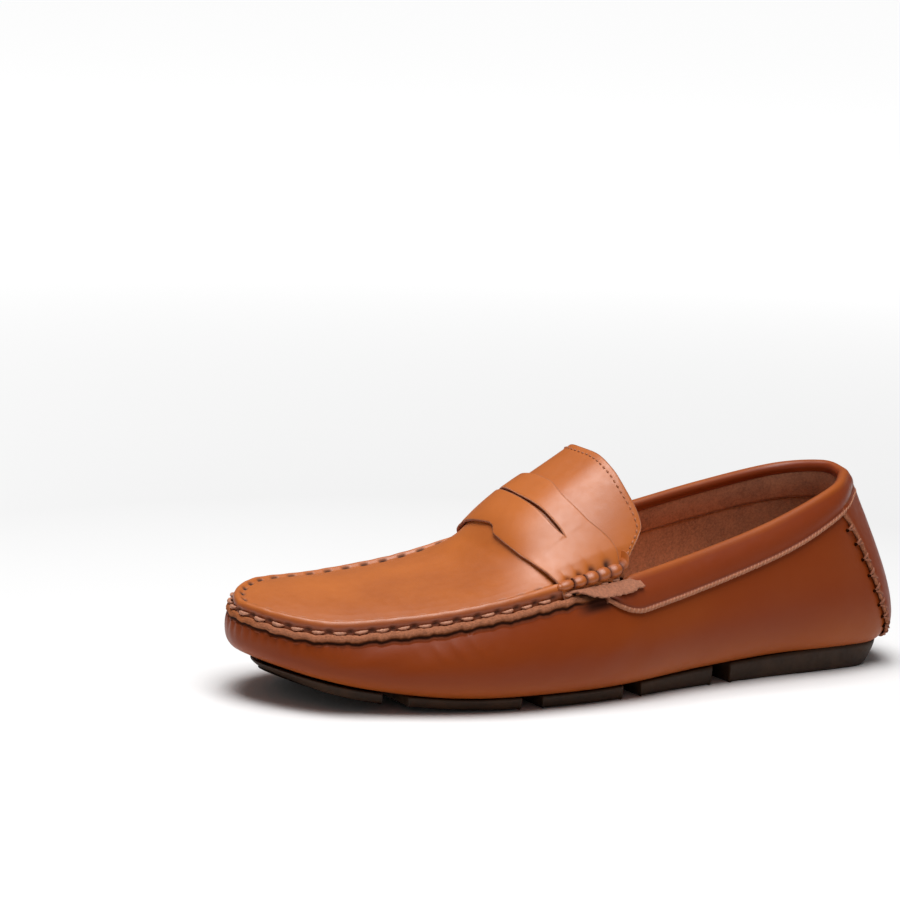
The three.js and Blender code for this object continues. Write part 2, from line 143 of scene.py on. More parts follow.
# At each station: the outline, the top edge's height, the direction outwards and the way from
# the outline to the top edge, all of which run smoothly from station to station.
station_along = catmull(STATIONS, np.arange(len(STATIONS)) / len(STATIONS), True)[1]
station_out = station_along[:, [1, 0]] / np.hypot(station_along[:, :1], station_along[:, 1:2])
SHAPE = np.column_stack([STATIONS[:, [0, 1, 3]], station_out, -STATIONS[:, 2:3] * station_out])


def wall(a, t, off=0.0):
    """Point of the side wall: a round the foot, t from the sole (0) to the top edge (1)."""
    a, t, off = np.broadcast_arrays(np.asarray(a, float), np.asarray(t, float), np.asarray(off, float))
    shape, _ = catmull(SHAPE, a, True)
    x, s, height, out_x, out_y, way_x, way_y = np.moveaxis(shape, -1, 0)
    length = np.hypot(out_x, out_y)
    out_x, out_y = out_x / length, out_y / length
    inset = -(way_x * out_x + way_y * out_y)
    low = sole_top(s) + 0.3
    rise = height - low
    heel = smooth(75, 10, s)
    toe = smooth(235, 285, s)
    lean = 0.63 * heel  # share of the inset that the upper wall already has at the heel
    o = [-FEATHER + 4.5 * heel, 6 + 2.2 * heel - 2.4 * toe, 2.5 - 1.2 * toe - lean * inset, -inset]
    z = [low, low + 0.1 * rise, low + 0.62 * rise, height]
    q = np.clip(t, 0, 1)

    def bezier(c):
        value = c[0] * (1 - q)**3 + 3 * c[1] * q * (1 - q)**2 + 3 * c[2] * q * q * (1 - q) + c[3] * q**3
        change = 3 * ((c[1] - c[0]) * (1 - q)**2 + 2 * (c[2] - c[1]) * q * (1 - q) + (c[3] - c[2]) * q * q)
        return value, change

    (value_o, change_o), (value_z, change_z) = bezier(o), bezier(z)
    size = np.hypot(change_o, change_z)
    up_o, up_z = change_o / size, change_z / size
    past = np.maximum(t - 1, 0)  # beyond the top edge, t counts millimetres straight on
    level = value_z - off * up_o + past * up_z
    # The share of the inset is laid along the smooth way, the rest straight outwards.
    along_way = 3 * lean * q * q * (1 - q) + q**3
    reach = value_o + inset * along_way + off * up_z + past * up_o
    return np.stack([x + CENTRE_X + out_x * reach + way_x * along_way,
                     HEEL_Y - s + out_y * reach + way_y * along_way, level], -1)


def t_at_depth(a, depth):
    a, depth = np.broadcast_arrays(np.asarray(a, float), np.asarray(depth, float))
    top = wall(a, np.ones_like(a))[..., 2]
    low, high = np.zeros_like(a), np.ones_like(a)
    for _ in range(22):
        middle = (low + high) / 2
        below = wall(a, middle)[..., 2] < top - depth
        low, high = np.where(below, middle, low), np.where(below, high, middle)
    return np.where(depth <= 0, 1 - depth, (low + high) / 2)


def wall_down(a, depth, off=0.0):
    return wall(a, t_at_depth(a, depth), off)


def outward(a):
    out = unit(catmull(SHAPE, a, True)[0][..., 3:5])
    return np.concatenate([out, 0 * out[..., :1]], -1)


# The apron seam, as a dense line: its points, arc lengths, outward directions and shares.
SEAM_A = np.linspace(TONGUE_END, 1 - TONGUE_END, 6001)
SEAM = wall(SEAM_A, 1.0)
SEAM_OUT = outward(SEAM_A)
SEAM_ARC = np.concatenate([[0], np.cumsum(np.linalg.norm(np.diff(SEAM, axis=0), axis=1))])


def to_a(arc):
    return np.interp(arc, SEAM_ARC, SEAM_A)


def to_arc(a):
    return np.interp(a, SEAM_A, SEAM_ARC)


def share_to_a(u, side):
    """Where the rib at u meets the outer (side 1) or inner (side -1) seam."""
    return 0.5 - side * (0.5 - TONGUE_END) * np.asarray(u, float)


# Section of the apron's edge: distance in from the seam on the plain surface, and what it
# becomes: distance in, and height over the seam.
EDGE_KNOTS = np.array([
    (0, 0.5, -1.6), (0.3, 0.3, -0.8), (0.6, 0.2, 0), (0.9, 0.2, 0.9), (1.2, 0.35, 1.75),
    (1.6, 0.65, 2.6), (2.0, 1.05, 3.3), (2.5, 1.65, 3.75), (3.0, 2.35, 3.85), (3.6, 3.05, 3.6),
    (4.3, 3.9, 3.0), (5.1, 4.9, 2.85), (6.5, 6.4, 3.1), (9, 9, 3.6), (14, 14, 4.2),
    (20, 20, 4.5), (200, 200, 4.5),
])


def edge_section(distance):
    inward = np.interp(distance, EDGE_KNOTS[:, 0], EDGE_KNOTS[:, 1])
    height = np.interp(distance, EDGE_KNOTS[:, 0], EDGE_KNOTS[:, 2])
    return inward, height


SEAM_TREE = KDTree(len(SEAM))
for number, place in enumerate(SEAM):
    SEAM_TREE.insert(place, number)
SEAM_TREE.balance()


def nearest_seam(points):
    """Distance to the seam and the index of its nearest point."""
    found = [SEAM_TREE.find(point)[1:] for point in points.reshape(-1, 3)]
    index, distance = (np.array(column) for column in zip(*found))
    return distance.reshape(points.shape[:-1]), index.reshape(points.shape[:-1])


def instep(u, w):
    """The instep without its rim: u from the toe seam to the tongue's edge, w across it."""
    u, w = np.broadcast_arrays(np.asarray(u, float), np.asarray(w, float))
    outer, inner = wall(share_to_a(u, 1), 1.0), wall(share_to_a(u, -1), 1.0)
    crown, _ = catmull(CROWN, u, False)
    top = np.stack([crown[..., 0] + CENTRE_X, HEEL_Y - crown[..., 1], crown[..., 2] - RIM], -1)
    fullness = 2.25 + 1.3 * smooth(0.72, 1, u)
    full = (1 - np.abs(w)**fullness)[..., None]
    point = inner + (outer - inner) * ((w + 1) / 2)[..., None] + (top - (inner + outer) / 2) * full
    corner = np.abs(w)**3.7
    end = smooth(0.86, 1, u)
    fuller = np.exp(-((w - 0.22) / 0.34)**2)  # on the outer side of the middle
    point[..., 1] += end * (TONGUE_CORNER * 4 * corner * (1 - corner) + 2 * fuller)
    point[..., 2] += 0.8 * end * fuller
    return point


# ------------------------------------------------------------------ mesh helpers

def grid_faces(rows, columns, closed=False):
    """Quads of a grid of vertices, row by row; closed joins the last row to the first."""
    last = rows if closed else rows - 1
    i, j = np.meshgrid(np.arange(last), np.arange(columns - 1), indexing="ij")
    k = (i + 1) % rows
    faces = np.stack([i * columns + j, k * columns + j, k * columns + j + 1, i * columns + j + 1], -1)
    return faces.reshape(-1, 4)


def weld(points, faces, values):
    """Joins vertices at one place and drops the faces that this flattens."""
    _, first, where = np.unique(np.round(points, 4), axis=0, return_index=True, return_inverse=True)
    faces = where.reshape(-1)[faces]
    clean = []
    for face in faces:
        ring = [face[k] for k in range(4) if face[k] != face[(k + 1) % 4]]
        if len(set(ring)) >= 3:
            clean.append(ring)
    return points[first], clean, {key: value[first] for key, value in values.items()}


def make_object(name, points, faces, material, values=None):
    mesh = bpy.data.meshes.new(name)
    mesh.from_pydata((np.asarray(points) * MM).tolist(), [], [list(map(int, face)) for face in faces])
    for key, value in (values or {}).items():
        layer = mesh.attributes.new(key, "FLOAT", "POINT")
        layer.data.foreach_set("value", np.asarray(value, np.float32))
    mesh.materials.append(material)
    mesh.polygons.foreach_set("use_smooth", [True] * len(mesh.polygons))
    mesh.update()
    piece = bpy.data.objects.new(name, mesh)
    bpy.context.collection.objects.link(piece)
    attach(piece, "root")
    return piece


def boundary_loops(faces):
    """Ordered loops of the edges that only one face uses."""
    after = {}
    used = set()
    for face in faces:
        for k in range(len(face)):
            used.add((face[k], face[(k + 1) % len(face)]))
    for edge in used:
        if (edge[1], edge[0]) not in used:
            after[edge[0]] = edge[1]
    loops = []
    while after:
        start = min(after)
        loop = [start]
        step = after.pop(start)
        while step != start:
            loop.append(step)
            step = after.pop(step)
        loops.append(loop)
    return loops


def leather_sheet(name, points, faces, material, thickness, values=None, bulge=0.45, rows=4):
    """A sheet from its outer face: a thickness inwards, with soft cut edges marked as raw."""
    points = np.asarray(points, float).reshape(-1, 3)
    values = {key: np.asarray(value, float).reshape(-1) for key, value in (values or {}).items()}
    for key in ("raw", "dark", "deep_tone_and_painted_shade"):
        values.setdefault(key, np.zeros(len(points)))
    points, faces, values = weld(points, faces, values)
    quads = np.array([face + [face[-1]] if len(face) == 3 else face for face in faces])
    corner = points[quads]
    face_normal = np.cross(corner[:, 2] - corner[:, 0], corner[:, 3] - corner[:, 1])
    normal = np.zeros_like(points)
    for k in range(4):
        np.add.at(normal, quads[:, k], face_normal)
    normal = unit(normal)
    count = len(points)
    everything = [points, points - normal * thickness]
    all_faces = list(faces) + [[v + count for v in reversed(face)] for face in faces]
    marks = {key: [value, value] for key, value in values.items()}
    marks["raw"][1] = np.ones(count)
    base = 2 * count
    for loop in boundary_loops(faces):
        ring = np.array(loop)
        size = len(ring)
        side = unit(np.cross(points[np.roll(ring, -1)] - points[np.roll(ring, 1)], normal[ring]))
        previous = list(ring)
        middle = points[ring] - normal[ring] * thickness / 2
        for row in range(1, rows + 1):
            if row < rows:
                angle = math.pi * row / rows
                spread = side * thickness * bulge * math.sin(angle)
                everything.append(middle + normal[ring] * thickness / 2 * math.cos(angle) + spread)
                for key, value in values.items():
                    marks[key].append(np.ones(size) if key == "raw" else value[ring])
                current = list(range(base, base + size))
                base += size
            else:
                current = list(ring + count)
            for k in range(size):
                n = (k + 1) % size
                all_faces.append([previous[n], previous[k], current[k], current[n]])
            previous = current
    marks = {key: np.concatenate(value) for key, value in marks.items()}
    return make_object(name, np.vstack(everything), all_faces, material, marks)


def tube_mesh(path, radius, sides=10, twist=0.0, strands=0):
    """Vertices and faces of a closed tube along a path; strands give it a laid-rope section."""
    path = np.asarray(path, float)
    count = len(path)
    radius = np.broadcast_to(np.asarray(radius, float), (count,))
    tangent = unit(np.gradient(path, axis=0))
    helper = np.array([0, 0, 1.0]) if abs(tangent[0, 2]) < 0.9 else np.array([1.0, 0, 0])
    side = np.cross(tangent[0], helper)
    frames = []
    for k in range(count):
        side = unit(side - tangent[k] * (side @ tangent[k]))
        frames.append((side, np.cross(tangent[k], side)))
    arc = np.concatenate([[0], np.cumsum(np.linalg.norm(np.diff(path, axis=0), axis=1))])
    angles = np.arange(sides) * 2 * math.pi / sides
    points = []
    for k in range(count):
        shape = np.ones(sides)
        if strands:
            shape = 0.8 + 0.2 * np.abs(np.cos(strands * (angles - twist * arc[k]) / 2))
        side, rise = frames[k]
        spread = np.outer(np.cos(angles) * shape, side) + np.outer(np.sin(angles) * shape, rise)
        points.append(path[k] + radius[k] * spread)
    points = np.vstack(points + [path[:1], path[-1:]])
    faces = []
    for k in range(count - 1):
        for j in range(sides):
            n = (j + 1) % sides
            faces.append([k * sides + j, k * sides + n, (k + 1) * sides + n, (k + 1) * sides + j])
    for j in range(sides):
        n = (j + 1) % sides
        faces.append([count * sides, n, j])
        faces.append([count * sides + 1, (count - 1) * sides + j, (count - 1) * sides + n])
    return points, faces


def thread_object(name, paths, radius, material, sides=10, twist=2.2, strands=2):
    """Many short threads in one object; each swells in the middle and closes at its ends."""
    points, faces, base = [], [], 0
    for path in paths:
        share = np.linspace(0, 1, len(path))
        swell = np.clip(np.sin(math.pi * share), 0.02, 1)**0.35
        some, quads = tube_mesh(path, radius * swell, sides, twist, strands)
        points.append(some)
        faces += [[v + base for v in quad] for quad in quads]
        base += len(some)
    return make_object(name, np.vstack(points), faces, material)


# ------------------------------------------------------------------ materials

def srgb(red, green, blue):
    def linear(channel):
        channel /= 255
        return channel / 12.92 if channel <= 0.04045 else ((channel + 0.055) / 1.055)**2.4
    return (linear(red), linear(green), linear(blue), 1.0)


class Nodes:
    """A small helper that adds nodes to one material and links them."""

    def __init__(self, name):
        self.material = bpy.data.materials.new(name)
        self.material.use_nodes = True
        self.tree = self.material.node_tree
        self.shader = self.tree.nodes["Principled BSDF"]

    def add(self, kind, inputs=None, **settings):
        node = self.tree.nodes.new(kind)
        for key, value in settings.items():
            setattr(node, key, value)
        for key, value in (inputs or {}).items():
            socket = node.inputs[key]
            if isinstance(value, bpy.types.NodeSocket):
                self.tree.links.new(value, socket)
            else:
                socket.default_value = value
        return node

    def link(self, output, socket):
        self.tree.links.new(output, self.shader.inputs[socket])

    def attribute(self, name):
        return self.add("ShaderNodeAttribute", attribute_name=name).outputs["Fac"]

    def noise(self, scale, detail=3.0, rough=0.5, stretch=(1, 1, 1), distortion=0.0):
        place = self.add("ShaderNodeTexCoord").outputs["Object"]
        place = self.add("ShaderNodeMapping", {"Vector": place, "Scale": stretch}).outputs["Vector"]
        inputs = {"Vector": place, "Scale": scale, "Detail": detail, "Roughness": rough,
                  "Distortion": distortion}
        return self.add("ShaderNodeTexNoise", inputs).outputs["Fac"]

    def cells(self, scale):
        place = self.add("ShaderNodeTexCoord").outputs["Object"]
        inputs = {"Vector": place, "Scale": scale}
        return self.add("ShaderNodeTexVoronoi", inputs, feature="DISTANCE_TO_EDGE").outputs["Distance"]

    def ramp(self, value, low, high, from_=0.0, to=1.0):
        inputs = {"Value": value, "From Min": low, "From Max": high, "To Min": from_, "To Max": to}
        return self.add("ShaderNodeMapRange", inputs).outputs["Result"]

    def mix(self, share, first, second):
        node = self.add("ShaderNodeMix", data_type="RGBA")
        for socket, value in ((node.inputs[0], share), (node.inputs[6], first), (node.inputs[7], second)):
            if isinstance(value, bpy.types.NodeSocket):
                self.tree.links.new(value, socket)
            else:
                socket.default_value = value
        return node.outputs[2]

    def multiply(self, first, second):
        return self.add("ShaderNodeMath", {0: first, 1: second}, operation="MULTIPLY").outputs[0]

    def bump(self, height, distance, strength=1.0, below=None):
        inputs = {"Height": height, "Distance": distance, "Strength": strength}
        if below is not None:
            inputs["Normal"] = below
        return self.add("ShaderNodeBump", inputs).outputs["Normal"]


def leather_material(name, light, deep, raw, gloss, roughness):
    n = Nodes(name)
    mottle = n.ramp(n.noise(26, 4, 0.55), 0.35, 0.68)
    cloud = n.ramp(n.noise(9, 2, 0.5), 0.38, 0.62)
    colour = n.mix(n.multiply(mottle, 0.28), light, deep)
    colour = n.mix(n.multiply(cloud, 0.18), colour, deep)
    # Painted shade: this attribute draws the colour towards the deep tan; small even amounts on some parts
    # only deepen their tone.
    colour = n.mix(n.attribute("deep_tone_and_painted_shade"), colour, deep)
    fibre = n.ramp(n.noise(900, 3, 0.7), 0.3, 0.7)
    raw_colour = n.mix(fibre, raw, tuple(c * 0.62 for c in raw[:3]) + (1,))
    colour = n.mix(n.attribute("raw"), colour, raw_colour)
    # The dark attribute mostly paints deep shade and shadow into holes, creases, valleys and under
    # overhangs.
    colour = n.mix(n.attribute("dark"), colour, srgb(34, 10, 3))
    n.link(colour, "Base Color")
    rough = n.ramp(n.noise(300, 3, 0.6), 0.3, 0.7, roughness - 0.04, roughness + 0.06)
    rough = n.add("ShaderNodeMix", {0: n.attribute("raw"), 2: rough, 3: 0.85}).outputs[0]
    rough = n.add("ShaderNodeMix", {0: n.attribute("dark"), 2: rough, 3: 1.0}).outputs[0]
    n.link(rough, "Roughness")
    grain = n.cells(1500)
    pores = n.noise(3500, 2, 0.5)
    creases = n.noise(160, 4, 0.6, (1, 0.45, 1), 0.6)
    normal = n.bump(creases, 0.00022, 0.35)
    normal = n.bump(grain, 0.00005, 0.5, normal)
    normal = n.bump(pores, 0.00002, 0.4, normal)
    normal = n.bump(n.multiply(n.noise(620, 5, 0.8), n.attribute("raw")), 0.0009, 1.0, normal)
    n.link(normal, "Normal")
    n.shader.inputs["Specular IOR Level"].default_value = gloss
    return n.material


def thread_material(name, colour, gloss=0.5):
    n = Nodes(name)
    shade = n.ramp(n.noise(1200, 2, 0.6), 0.3, 0.7)
    n.link(n.mix(shade, colour, tuple(c * 0.66 for c in colour[:3]) + (1,)), "Base Color")
    n.link(n.bump(n.noise(4000, 2, 0.6), 0.00008, 0.6), "Normal")
    n.shader.inputs["Roughness"].default_value = 0.6
    n.shader.inputs["Specular IOR Level"].default_value = gloss
    return n.material


def lining_material(name, colour, nap):
    n = Nodes(name)
    patches = n.ramp(n.noise(90, 6, 0.7), 0.34, 0.66)
    speck = n.ramp(n.noise(900, 4, 0.8), 0.36, 0.64)
    shade = n.mix(n.multiply(patches, 0.85), colour, tuple(c * 0.5 for c in colour[:3]) + (1,))
    shade = n.mix(n.multiply(speck, nap), shade, tuple(min(1, c * 1.9) for c in colour[:3]) + (1,))
    n.link(n.mix(n.attribute("dark"), shade, srgb(30, 10, 4)), "Base Color")
    n.link(n.bump(n.noise(1600, 4, 0.75), 0.00025, 0.6), "Normal")
    n.shader.inputs["Roughness"].default_value = 0.92
    n.shader.inputs["Sheen Weight"].default_value = 0.25
    n.shader.inputs["Sheen Roughness"].default_value = 0.5
    return n.material


def rubber_material(name):
    n = Nodes(name)
    dust = n.ramp(n.noise(120, 5, 0.6), 0.35, 0.7)
    shade = n.mix(dust, srgb(62, 41, 25), srgb(44, 29, 18))
    n.link(shade, "Base Color")
    n.shader.inputs["Specular IOR Level"].default_value = 0.25
    n.link(n.ramp(n.noise(500, 3, 0.6), 0.3, 0.7, 0.5, 0.66), "Roughness")
    n.link(n.bump(n.noise(2200, 3, 0.6), 0.0001, 0.4), "Normal")
    return n.material


TAN = srgb(196, 106, 34)
# The deep tan is both the leather's darker mottling and the colour that painted shade draws towards.
DEEP_TAN_AND_SHADE = srgb(120, 42, 10)
RAW = srgb(190, 120, 86)
leather = leather_material("tan_leather", TAN, DEEP_TAN_AND_SHADE, RAW, 0.7, 0.42)
collar_leather = leather_material("collar_leather", TAN, DEEP_TAN_AND_SHADE, RAW, 0.35, 0.4)
# The side walls' leather is less glossy; its darker colour on the walls is painted shade.
wall_leather = leather_material("low_gloss_wall_leather", TAN, DEEP_TAN_AND_SHADE, RAW, 0.18, 0.4)
thread = thread_material("waxed_thread", srgb(196, 134, 104))
dark_thread = thread_material("lacing_thread", srgb(158, 92, 62))
lining = lining_material("suede_lining", srgb(196, 140, 104), 0.5)
facing = lining_material("collar_facing_leather", srgb(200, 140, 106), 0.4)
# The needle holes' dark forms paint the shadow inside them.
needle_hole = thread_material("needle_hole_painted_shadow", srgb(38, 12, 4), 0.0)
brown_thread = thread_material("brown_thread", srgb(112, 54, 26))
seam_thread = thread_material("tan_thread", srgb(190, 118, 80))
sock = leather_material("sock_leather", srgb(214, 122, 44), srgb(160, 82, 26), RAW, 0.3, 0.45)
rubber = rubber_material("brown_rubber")


# ------------------------------------------------------------------ camera, light and floor

def image_axes(turn, height, roll):
    """Unit vectors to the back, right and up of a camera at this heading, height and roll."""
    turn, height, roll = (math.radians(angle) for angle in (turn, height, roll))
    back = Vector((math.cos(turn) * math.cos(height), -math.sin(turn) * math.cos(height), math.sin(height)))
    level = Vector((math.sin(turn), math.cos(turn), 0))
    rise = back.cross(level)
    if rise.z < 0:
        rise.negate()
    right = level * math.cos(roll) + rise * math.sin(roll)
    up = rise * math.cos(roll) - level * math.sin(roll)
    return back, right, up


def add_camera():
    back, right, up = image_axes(30.9, 11.4, 2.7)
    target = Vector((-3.2, -1.5, 35))
    place = target + 1500 * back
    aim = target - 47.8 * right + 54.9 * up
    forward = (aim - place).normalized()
    right = (right - forward * right.dot(forward)).normalized()
    up = right.cross(forward)
    data = bpy.data.cameras.new("photo_camera")
    data.lens = 151.7
    data.sensor_width = 36
    data.clip_end = 20
    camera = bpy.data.objects.new("photo_camera", data)
    turned = Matrix((right, up, -forward)).transposed().to_4x4()
    camera.matrix_world = Matrix.Translation(place * MM) @ turned
    bpy.context.collection.objects.link(camera)
    bpy.context.scene.camera = camera


def add_light(name, place, aim, size, power):
    data = bpy.data.lights.new(name, "AREA")
    data.shape = "RECTANGLE"
    data.size, data.size_y = size
    data.energy = power
    light = bpy.data.objects.new(name, data)
    light.location = place
    light.rotation_euler = (Vector(aim) - Vector(place)).to_track_quat("-Z", "Y").to_euler()
    bpy.context.collection.objects.link(light)


def add_stage():
    mesh = bpy.data.meshes.new("studio_floor")
    mesh.from_pydata([(-6, -6, 0), (6, -6, 0), (6, 6, 0), (-6, 6, 0)], [], [(0, 1, 2, 3)])
    floor = bpy.data.objects.new("studio_floor", mesh)
    bpy.context.collection.objects.link(floor)
    n = Nodes("pale_floor")
    n.shader.inputs["Base Color"].default_value = (0.86, 0.86, 0.86, 1)
    n.shader.inputs["Roughness"].default_value = 0.9
    n.shader.inputs["Specular IOR Level"].default_value = 0.1
    # The floor stays as pale far off as it is under the light.
    place = n.add("ShaderNodeTexCoord").outputs["Object"]
    distance = n.add("ShaderNodeVectorMath", {0: place}, operation="LENGTH").outputs["Value"]
    n.link(n.ramp(distance, 0.4, 1.7, 0.0, 0.85), "Emission Strength")
    n.shader.inputs["Emission Color"].default_value = (1, 1, 1, 1)
    mesh.materials.append(n.material)
    world = bpy.data.worlds.new("studio")
    world.use_nodes = True
    tree = world.node_tree
    background = tree.nodes["Background"]
    background.inputs["Color"].default_value = (1, 1, 1, 1)
    seen = tree.nodes.new("ShaderNodeLightPath").outputs["Is Camera Ray"]
    strength = tree.nodes.new("ShaderNodeMapRange")
    strength.inputs["To Min"].default_value = 0.14
    strength.inputs["To Max"].default_value = 1.0
    tree.links.new(seen, strength.inputs["Value"])
    tree.links.new(strength.outputs["Result"], background.inputs["Strength"])
    scene = bpy.context.scene
    scene.world = world
    scene.view_settings.view_transform = "Standard"
    scene.view_settings.look = "None"
    add_light("overhead", (0.2, -0.15, 1.5), (0.2, -0.15, 0), (1.5, 0.95), 31)


# ------------------------------------------------------------------ solids from closed profiles

def solid_grid(name, grid, material, values=None, closed_rows=False, closed_columns=True):
    """A closed solid from rows of profile points; open ends are capped with fans."""
    rows, columns, _ = grid.shape
    values = {key: np.broadcast_to(value, (rows, columns)) for key, value in (values or {}).items()}
    for key in ("raw", "dark", "deep_tone_and_painted_shade"):
        values.setdefault(key, np.zeros((rows, columns)))
    if closed_columns:
        grid = np.concatenate([grid, grid[:, :1]], 1)
        values = {key: np.concatenate([value, value[:, :1]], 1) for key, value in values.items()}
        columns += 1
    points = grid.reshape(-1, 3)
    faces = [list(face) for face in grid_faces(rows, columns, closed_rows)]
    marks = {key: value.reshape(-1) for key, value in values.items()}
    if not closed_rows:
        for row, turn in ((0, 1), (rows - 1, -1)):
            ring = [row * columns + j for j in range(columns - 1)]
            centre = points[ring].mean(0)
            points = np.vstack([points, centre])
            marks = {key: np.append(value, value[ring].mean()) for key, value in marks.items()}
            for j in range(len(ring)):
                n = (j + 1) % len(ring)
                trio = [ring[j], ring[n], len(points) - 1]
                faces.append([trio[0], trio[1], trio[2], trio[2]][::turn])
    points, faces, marks = weld(points, faces, marks)
    volume = sum(np.dot(points[f[0]], np.cross(points[f[1]], points[f[2]])) for f in faces)
    volume += sum(np.dot(points[f[0]], np.cross(points[f[2]], points[f[3]])) for f in faces if len(f) == 4)
    if volume < 0:
        faces = [face[::-1] for face in faces]
    return make_object(name, points, faces, material, marks)


def bumps(seed, count, length):
    """A gentle uneven wave of a length, the same on every run."""
    random = np.random.default_rng(seed)
    phase, size = random.uniform(0, 2 * math.pi, count), random.uniform(0.5, 1, count)

    def wave(arc):
        arc = np.asarray(arc, float)
        total = sum(s * np.sin(2 * math.pi * arc / (length / (k + 1)) + p)
                    for k, (p, s) in enumerate(zip(phase, size)))
        return total / count
    return wave


def stitch_wave(arc, pitch):
    """1 midway between two stitch holes, 0 at each hole."""
    return 0.5 - 0.5 * np.cos(2 * math.pi * np.asarray(arc, float) / pitch)


uneven = bumps(3, 5, 61.0)
fine_uneven = bumps(8, 4, 17.0)


# ------------------------------------------------------------------ upper: wrap

def make_wrap():
    count = 720
    a = (np.arange(count) / count)[:, None]
    arc = to_arc(np.clip(a, TONGUE_END, 1 - TONGUE_END))
    beyond = np.minimum(a, 1 - a)
    ridge = smooth(0.272, 0.29, beyond)
    lowered = 5 * smooth(0.275, 0.235, beyond)
    gap = 1 - stitch_wave(arc, STITCH)
    from_toe = arc - SEAM_ARC[-1] / 2
    # Outer profile of the turned-up edge: depth under the top edge, offset, raw, dark; the dark column
    # paints the shadow under the ridge and in the crease above it.
    lip = [(4.9, 0.1, 0, 0.1), (4.5, 0.1, 0, 0.5), (4.1, -0.1, 0, 0.85), (3.75, 0.0, 0, 1.0),
           (3.5, 0.65, 0.2, 0.8), (3.35, 1.25, 0.8, 0.25), (3.0, 1.7, 1, 0), (2.5, 1.85, 1, 0),
           (2.0, 1.7, 1, 0), (1.6, 1.45, 1, 0), (1.3, 1.05, 1, 0), (1.2, 0.55, 1, 0.15),
           (1.3, 0.0, 1, 0.5), (1.5, -0.6, 1, 0.8)]
    tip = smooth(26, 10, np.abs(from_toe - 8))  # the edge is pulled in flat round the toe
    wander = uneven(arc + 20)
    rows = []
    for depth, off, _, _ in lip:
        high = 0.45 * gap * (depth < 2.2) + 0.4 * wander
        high = high + (0.4 * gap + 0.35 * fine_uneven(arc * 1.6)) * (depth > 2.9)
        twist = 0.26 * np.sin(2 * math.pi * (arc / 2.7 + depth / 2.4)) * (off > 1)
        wide = (off * (1.08 - 0.24 * gap + 0.3 * fine_uneven(arc)) + twist) * (1 - 0.4 * tip)
        rows.append((depth - high * ridge + lowered, wide * ridge))
    t_edge = t_at_depth(a, rows[0][0])
    wall_t = np.linspace(0, 1, 46)[None, :] * t_edge
    depth_here = (1 - wall_t) * 28
    gather = smooth(62, 24, np.abs(from_toe))
    pull = np.exp(-(np.maximum(depth_here - 4.5, 0) / 5.5)**2)
    crease = 0.42 * gather * pull * np.sin(2 * math.pi * arc / (STITCH * 0.53) + 2 * wander)
    # Slanted folds where the wall turns from the toe to the side.
    slant = np.exp(-((np.abs(from_toe) - 88) / 14)**2)
    fold_wave = np.sin(2 * math.pi * (np.abs(from_toe) - 0.7 * depth_here) / 7.4)
    crease = crease + 0.34 * slant * np.exp(-((depth_here - 7.5) / 3.4)**2) * np.maximum(fold_wave, -0.3)
    swell = 0.4 * np.sin(math.pi * wall_t) * uneven(arc * 0.6 + wall_t * 30)
    outer_wall = wall(a, wall_t, crease + swell)
    lip_points = np.stack([wall_down(a, depth, off)[:, 0] for depth, off in rows], 1)
    inner_t = t_at_depth(a, 1.7 + lowered) * np.linspace(1, 0, 30)[None, :]
    inner_wall = wall(a, inner_t, -1.5)
    shares = np.array([1, 0.96, 0.88, 0.75, 0.5, 0.25, 0])
    foot = wall(a, 0.0)
    floor = foot * shares[None, :, None]
    floor[..., 2] = sole_top(HEEL_Y - floor[..., 1]) + 0.3
    floor_out = floor[:, ::-1][:, :-1]
    floor_in = floor[:, 1:] + (0, 0, 1.5)
    grid = np.concatenate([floor_out, outer_wall, lip_points, inner_wall, floor_in], 1)
    raw, deep_tone_and_painted_shade, dark = (np.zeros(grid.shape[:2]) for _ in range(3))
    start = floor_out.shape[1]
    first = start + wall_t.shape[1]
    last = first + len(lip)
    marks = np.array(lip)
    raw[:, first:last] = marks[:, 2] * ridge * (1 - 0.55 * tip)
    dark[:, first:last] = marks[:, 3] * ridge
    # Painted shade between the knots of the ridge round the toe.
    dark[:, first:last] += 0.3 * tip * gap * (marks[:, 2] > 0)
    # Deep shade under the flap of the beefroll.
    under_flap = smooth(0.254, 0.27, beyond) * smooth(0.294, 0.278, beyond)
    drop = wall(a, 1.0)[..., 2] - wall(a, wall_t)[..., 2]
    dark[:, start:first] = 0.9 * under_flap * smooth(9, 6, drop)
    dark[:, first:last] = np.maximum(dark[:, first:last], 0.9 * under_flap)
    raw[:, last:] = 1
    # Painted shade: full under the foot; on the side wall, lighter towards the sole as a painted floor
    # reflection, lighter in a band some 10 mm under the top edge as a painted highlight, and a little
    # darker at the very foot.
    deep_tone_and_painted_shade[:, :start] = 1.0
    deep_tone_and_painted_shade[:, start:first] = (0.9 - 0.36 * smooth(0.5, 0.1, wall_t)
                            - 0.08 * np.exp(-((depth_here - 10) / 6)**2)
                            + 0.1 * np.exp(-(wall_t / 0.05)**2))
    # Painted shade under the ridge.
    deep_tone_and_painted_shade[:, first:first + 4] = 0.8
    piece = solid_grid("moccasin_leather", grid, wall_leather, {"raw": raw, "deep_tone_and_painted_shade": deep_tone_and_painted_shade, "dark": dark},
                       closed_rows=True, closed_columns=False)
    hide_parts("moccasin_wrap", "heel_counter")


# ------------------------------------------------------------------ upper: apron and tongue

def bead_fade(u):
    """The rim is full along the vamp and dies away under the strap."""
    return smooth(0.90, 0.79, u)


def tongue_edge(u, w):
    """Rounds the tongue's lower corners by drawing u back near them."""
    cut = 0.005 * smooth(0.5, 0.75, np.abs(w)) + 0.035 * smooth(0.86, 1.0, np.abs(w))
    return u - cut * smooth(0.90, 1.0, u)


